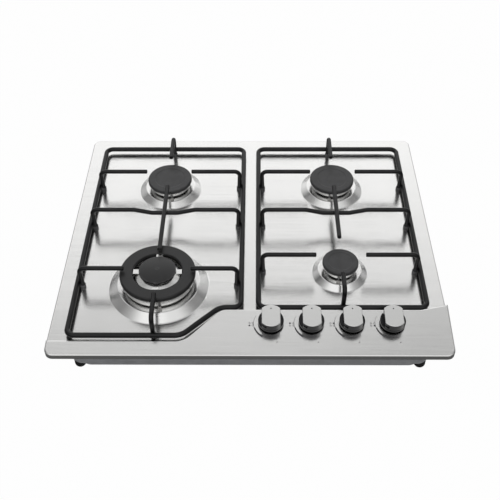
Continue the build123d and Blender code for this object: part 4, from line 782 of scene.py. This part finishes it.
class COOKTOP_OT_burners(bpy.types.Operator):
    """Finishes the burner bases, crowns and caps, with their jets and screws"""

    bl_idname = "cooktop.burners"
    bl_label = "Burners"

    def execute(self, context):
        metals = context.scene.cooktop_metals
        blacks = context.scene.cooktop_blacks
        crowns = cast_metal("crown_aluminium", metals.aluminium, roughness=0.22)
        crowns.put_on(*[f"{burner}_crown" for burner in BURNERS])
        bases = cast_metal("base_aluminium", metals.aluminium, roughness=0.45, grain=0.00008)
        bases.put_on(*[f"{burner}_burner_base" for burner in BURNERS])
        caps = cap_enamel("cap_enamel", blacks.cap_enamel)
        caps.put_on("rear_left_cap", "rear_right_cap", "simmer_cap")
        darker = [0.25 * part for part in blacks.cap_enamel[:3]] + [1.0]
        wok = cap_enamel("wok_cap_enamel", darker, roughness=0.42)
        wok.put_on("wok_ring_cap", "wok_centre_cap")
        turned_metal("jet_brass", metals.brass).put_on("gas_jets")
        zinc_sheet("burner_screw_zinc", metals.zinc, roughness=0.3).put_on("burner_screws")
        return {"FINISHED"}


class COOKTOP_OT_electrodes(bpy.types.Operator):
    """Glazes the electrodes' ceramic and finishes their spark pins"""

    bl_idname = "cooktop.electrodes"
    bl_label = "Electrodes"

    def execute(self, context):
        # The white ceramic is given a grey colour here as painted shade, for the shade it sits in by the
        # burners.
        glazed_ceramic("electrode_glaze", (0.42, 0.41, 0.39, 1.0)).put_on("electrode_ceramics")
        turned_metal("pin_steel", (0.3, 0.3, 0.31, 1.0), roughness=0.35).put_on("electrode_pins")
        return {"FINISHED"}


class COOKTOP_OT_knobs(bpy.types.Operator):
    """Finishes the satin knobs and prints the pointer dot on each"""

    bl_idname = "cooktop.knobs"
    bl_label = "Knobs"

    def execute(self, context):
        marks = context.scene.cooktop_marks
        metals = context.scene.cooktop_metals
        knob_metal("knob_plating", metals.knob, metals.knob_wall_painted_reflection).put_on(*KNOBS)
        ink = printed_ink("knob_ink", marks.ink)
        for tap, knob in zip(TAPS, KNOBS):
            x, y = knob_centre(knob)
            spot = disc(x, y + marks.dot_back, marks.dot_radius)
            dot = print_marks(f"{knob}_dot", Skin(knob), [spot], marks.ink_height, f"knob_unit_{tap}")
            dress(dot, ink.material)
        return {"FINISHED"}


class COOKTOP_OT_marks(bpy.types.Operator):
    """Prints a burner map, a flame arc and an end mark beside each knob"""

    bl_idname = "cooktop.marks"
    bl_label = "Printed marks"

    def execute(self, context):
        marks = context.scene.cooktop_marks
        ink = printed_ink("steel_ink", marks.ink)
        top = Skin("hob_top")
        fed = [(-1, -1), (-1, 1), (1, 1), (1, -1)]
        for knob, filled in zip(KNOBS, fed):
            x, y = knob_centre(knob)
            shapes = self.burner_map(x + MAP_PLACE[0], y + MAP_PLACE[1], marks.map_side, filled)
            shapes.append(band(x, y, marks.arc_radius, [ARC_THIN_END, marks.arc_width], *ARC_SPAN))
            shapes.append(band(x, y, marks.arc_radius + TAIL_OUT, TAIL_WIDTHS, *TAIL_SPAN))
            shapes.append(disc(x + END_MARK[0], y + END_MARK[1], END_MARK_RADIUS))
            layer = print_marks(f"{knob}_marks", top, shapes, marks.ink_height, HOB)
            dress(layer, ink.material)
        return {"FINISHED"}

    def burner_map(self, x, y, side, filled):
        """Four spots for the four burners, with the one that the knob feeds filled."""
        shapes = []
        for sx, sy in ((-1, -1), (1, -1), (1, 1), (-1, 1)):
            spot_x, spot_y = x + sx * side * MAP_STEP[0], y + sy * side * MAP_STEP[1]
            if (sx, sy) == filled:
                shapes.append(disc(spot_x, spot_y, side * 0.19))
            else:
                shapes.append(band(spot_x, spot_y, side * 0.15, [side * 0.07], 0.0, 360.0, steps=24))
        return shapes


class COOKTOP_OT_tray(bpy.types.Operator):
    """Finishes the tray, its screws, the rail's saddles, the rubber feet and the spindle bushes"""

    bl_idname = "cooktop.tray"
    bl_label = "Tray and feet"

    def execute(self, context):
        metals = context.scene.cooktop_metals
        blacks = context.scene.cooktop_blacks
        zinc_sheet("tray_sheet", metals.sheet, roughness=0.5, metallic=0.3).put_on("bottom_tray")
        zinc_sheet("screw_zinc", metals.zinc, roughness=0.3).put_on("tray_screws", "manifold_brackets")
        moulded_rubber("black_rubber", blacks.rubber).put_on("rubber_feet", "spindle_seals")
        return {"FINISHED"}


class COOKTOP_OT_gas_parts(bpy.types.Operator):
    """Finishes the gas rail, inlet, taps, feed tubes and springs"""

    bl_idname = "cooktop.gas_parts"
    bl_label = "Gas parts"

    def execute(self, context):
        metals = context.scene.cooktop_metals
        brass = turned_metal("machined_brass", metals.brass)
        brass.put_on("inlet_elbow", "tube_nuts", *[f"tap_plug_{tap}" for tap in TAPS])
        tube = turned_metal("drawn_aluminium", metals.aluminium, roughness=0.34)
        tube.put_on(*[f"{burner}_feed_tube" for burner in BURNERS])
        zinc_sheet("rail_steel", metals.zinc, roughness=0.35).put_on("gas_manifold")
        cast_metal("tap_casting", metals.aluminium, roughness=0.42, grain=0.00008).put_on("tap_bodies")
        steel = turned_metal("spindle_steel", (0.55, 0.55, 0.56, 1.0), roughness=0.3)
        steel.put_on(*[f"tap_spindle_{tap}" for tap in TAPS])
        spring = turned_metal("spring_wire", (0.45, 0.45, 0.47, 1.0), roughness=0.25)
        spring.put_on(*[f"return_spring_{tap}" for tap in TAPS])
        close_springs()
        return {"FINISHED"}


class COOKTOP_OT_ignition(bpy.types.Operator):
    """Finishes the spark generator, its leads and switches, and the battery with its holder"""

    bl_idname = "cooktop.ignition"
    bl_label = "Ignition"

    def execute(self, context):
        plastic = context.scene.cooktop_blacks.plastic
        housing = moulded_plastic("spark_housing", plastic)
        housing.put_on("spark_generator", "battery_holder", "battery_door")
        moulded_plastic("loom_plastic", (0.05, 0.05, 0.055, 1.0), roughness=0.6).put_on("ignition_harness")
        moulded_rubber("lead_silicone", (0.62, 0.6, 0.57, 1.0), roughness=0.5).put_on("ignition_leads")
        battery_wrap("battery_sleeve", (0.33, 0.36, 0.4, 1.0)).put_on("battery")
        return {"FINISHED"}


class COOKTOP_OT_studio(bpy.types.Operator):
    """Lays the pale floor and sets the lamps, the room and the camera"""

    bl_idname = "cooktop.studio"
    bl_label = "Studio"

    def execute(self, context):
        studio = context.scene.cooktop_studio
        build_floor(studio)
        build_world(studio)
        add_lamp("key_lamp", (-0.35, 0.45, 1.9), (1.5, 1.2), studio.key_power)
        add_lamp("fill_lamp", (0.3, -1.9, 0.9), (1.4, 1.0), studio.fill_power)
        build_camera()
        context.scene.view_settings.view_transform = "Standard"
        return {"FINISHED"}


OPERATORS = [
    COOKTOP_OT_top,
    COOKTOP_OT_pan_supports,
    COOKTOP_OT_burners,
    COOKTOP_OT_electrodes,
    COOKTOP_OT_knobs,
    COOKTOP_OT_marks,
    COOKTOP_OT_tray,
    COOKTOP_OT_gas_parts,
    COOKTOP_OT_ignition,
    COOKTOP_OT_studio,
]


class COOKTOP_PT_panel(bpy.types.Panel):
    """Sizes, colours and steps of the cooktop"""

    bl_idname = "COOKTOP_PT_panel"
    bl_label = "Gas Cooktop"
    bl_space_type = "VIEW_3D"
    bl_region_type = "UI"
    bl_category = "Cooktop"

    def draw(self, context):
        for name, group in SETTINGS.items():
            box = self.layout.box()
            for setting in group.__annotations__:
                box.prop(getattr(context.scene, name), setting)
        for operator in OPERATORS:
            self.layout.operator(operator.bl_idname)


CLASSES = [*SETTINGS.values(), *OPERATORS, COOKTOP_PT_panel]


def register():
    for made in CLASSES:
        bpy.utils.register_class(made)
    for name, group in SETTINGS.items():
        setattr(bpy.types.Scene, name, bpy.props.PointerProperty(type=group))


def unregister():
    for name in SETTINGS:
        delattr(bpy.types.Scene, name)
    for made in reversed(CLASSES):
        bpy.utils.unregister_class(made)


def main():
    register()
    for operator in OPERATORS:
        family, step = operator.bl_idname.split(".")
        getattr(getattr(bpy.ops, family), step)()


if __name__ == "__main__":
    main()
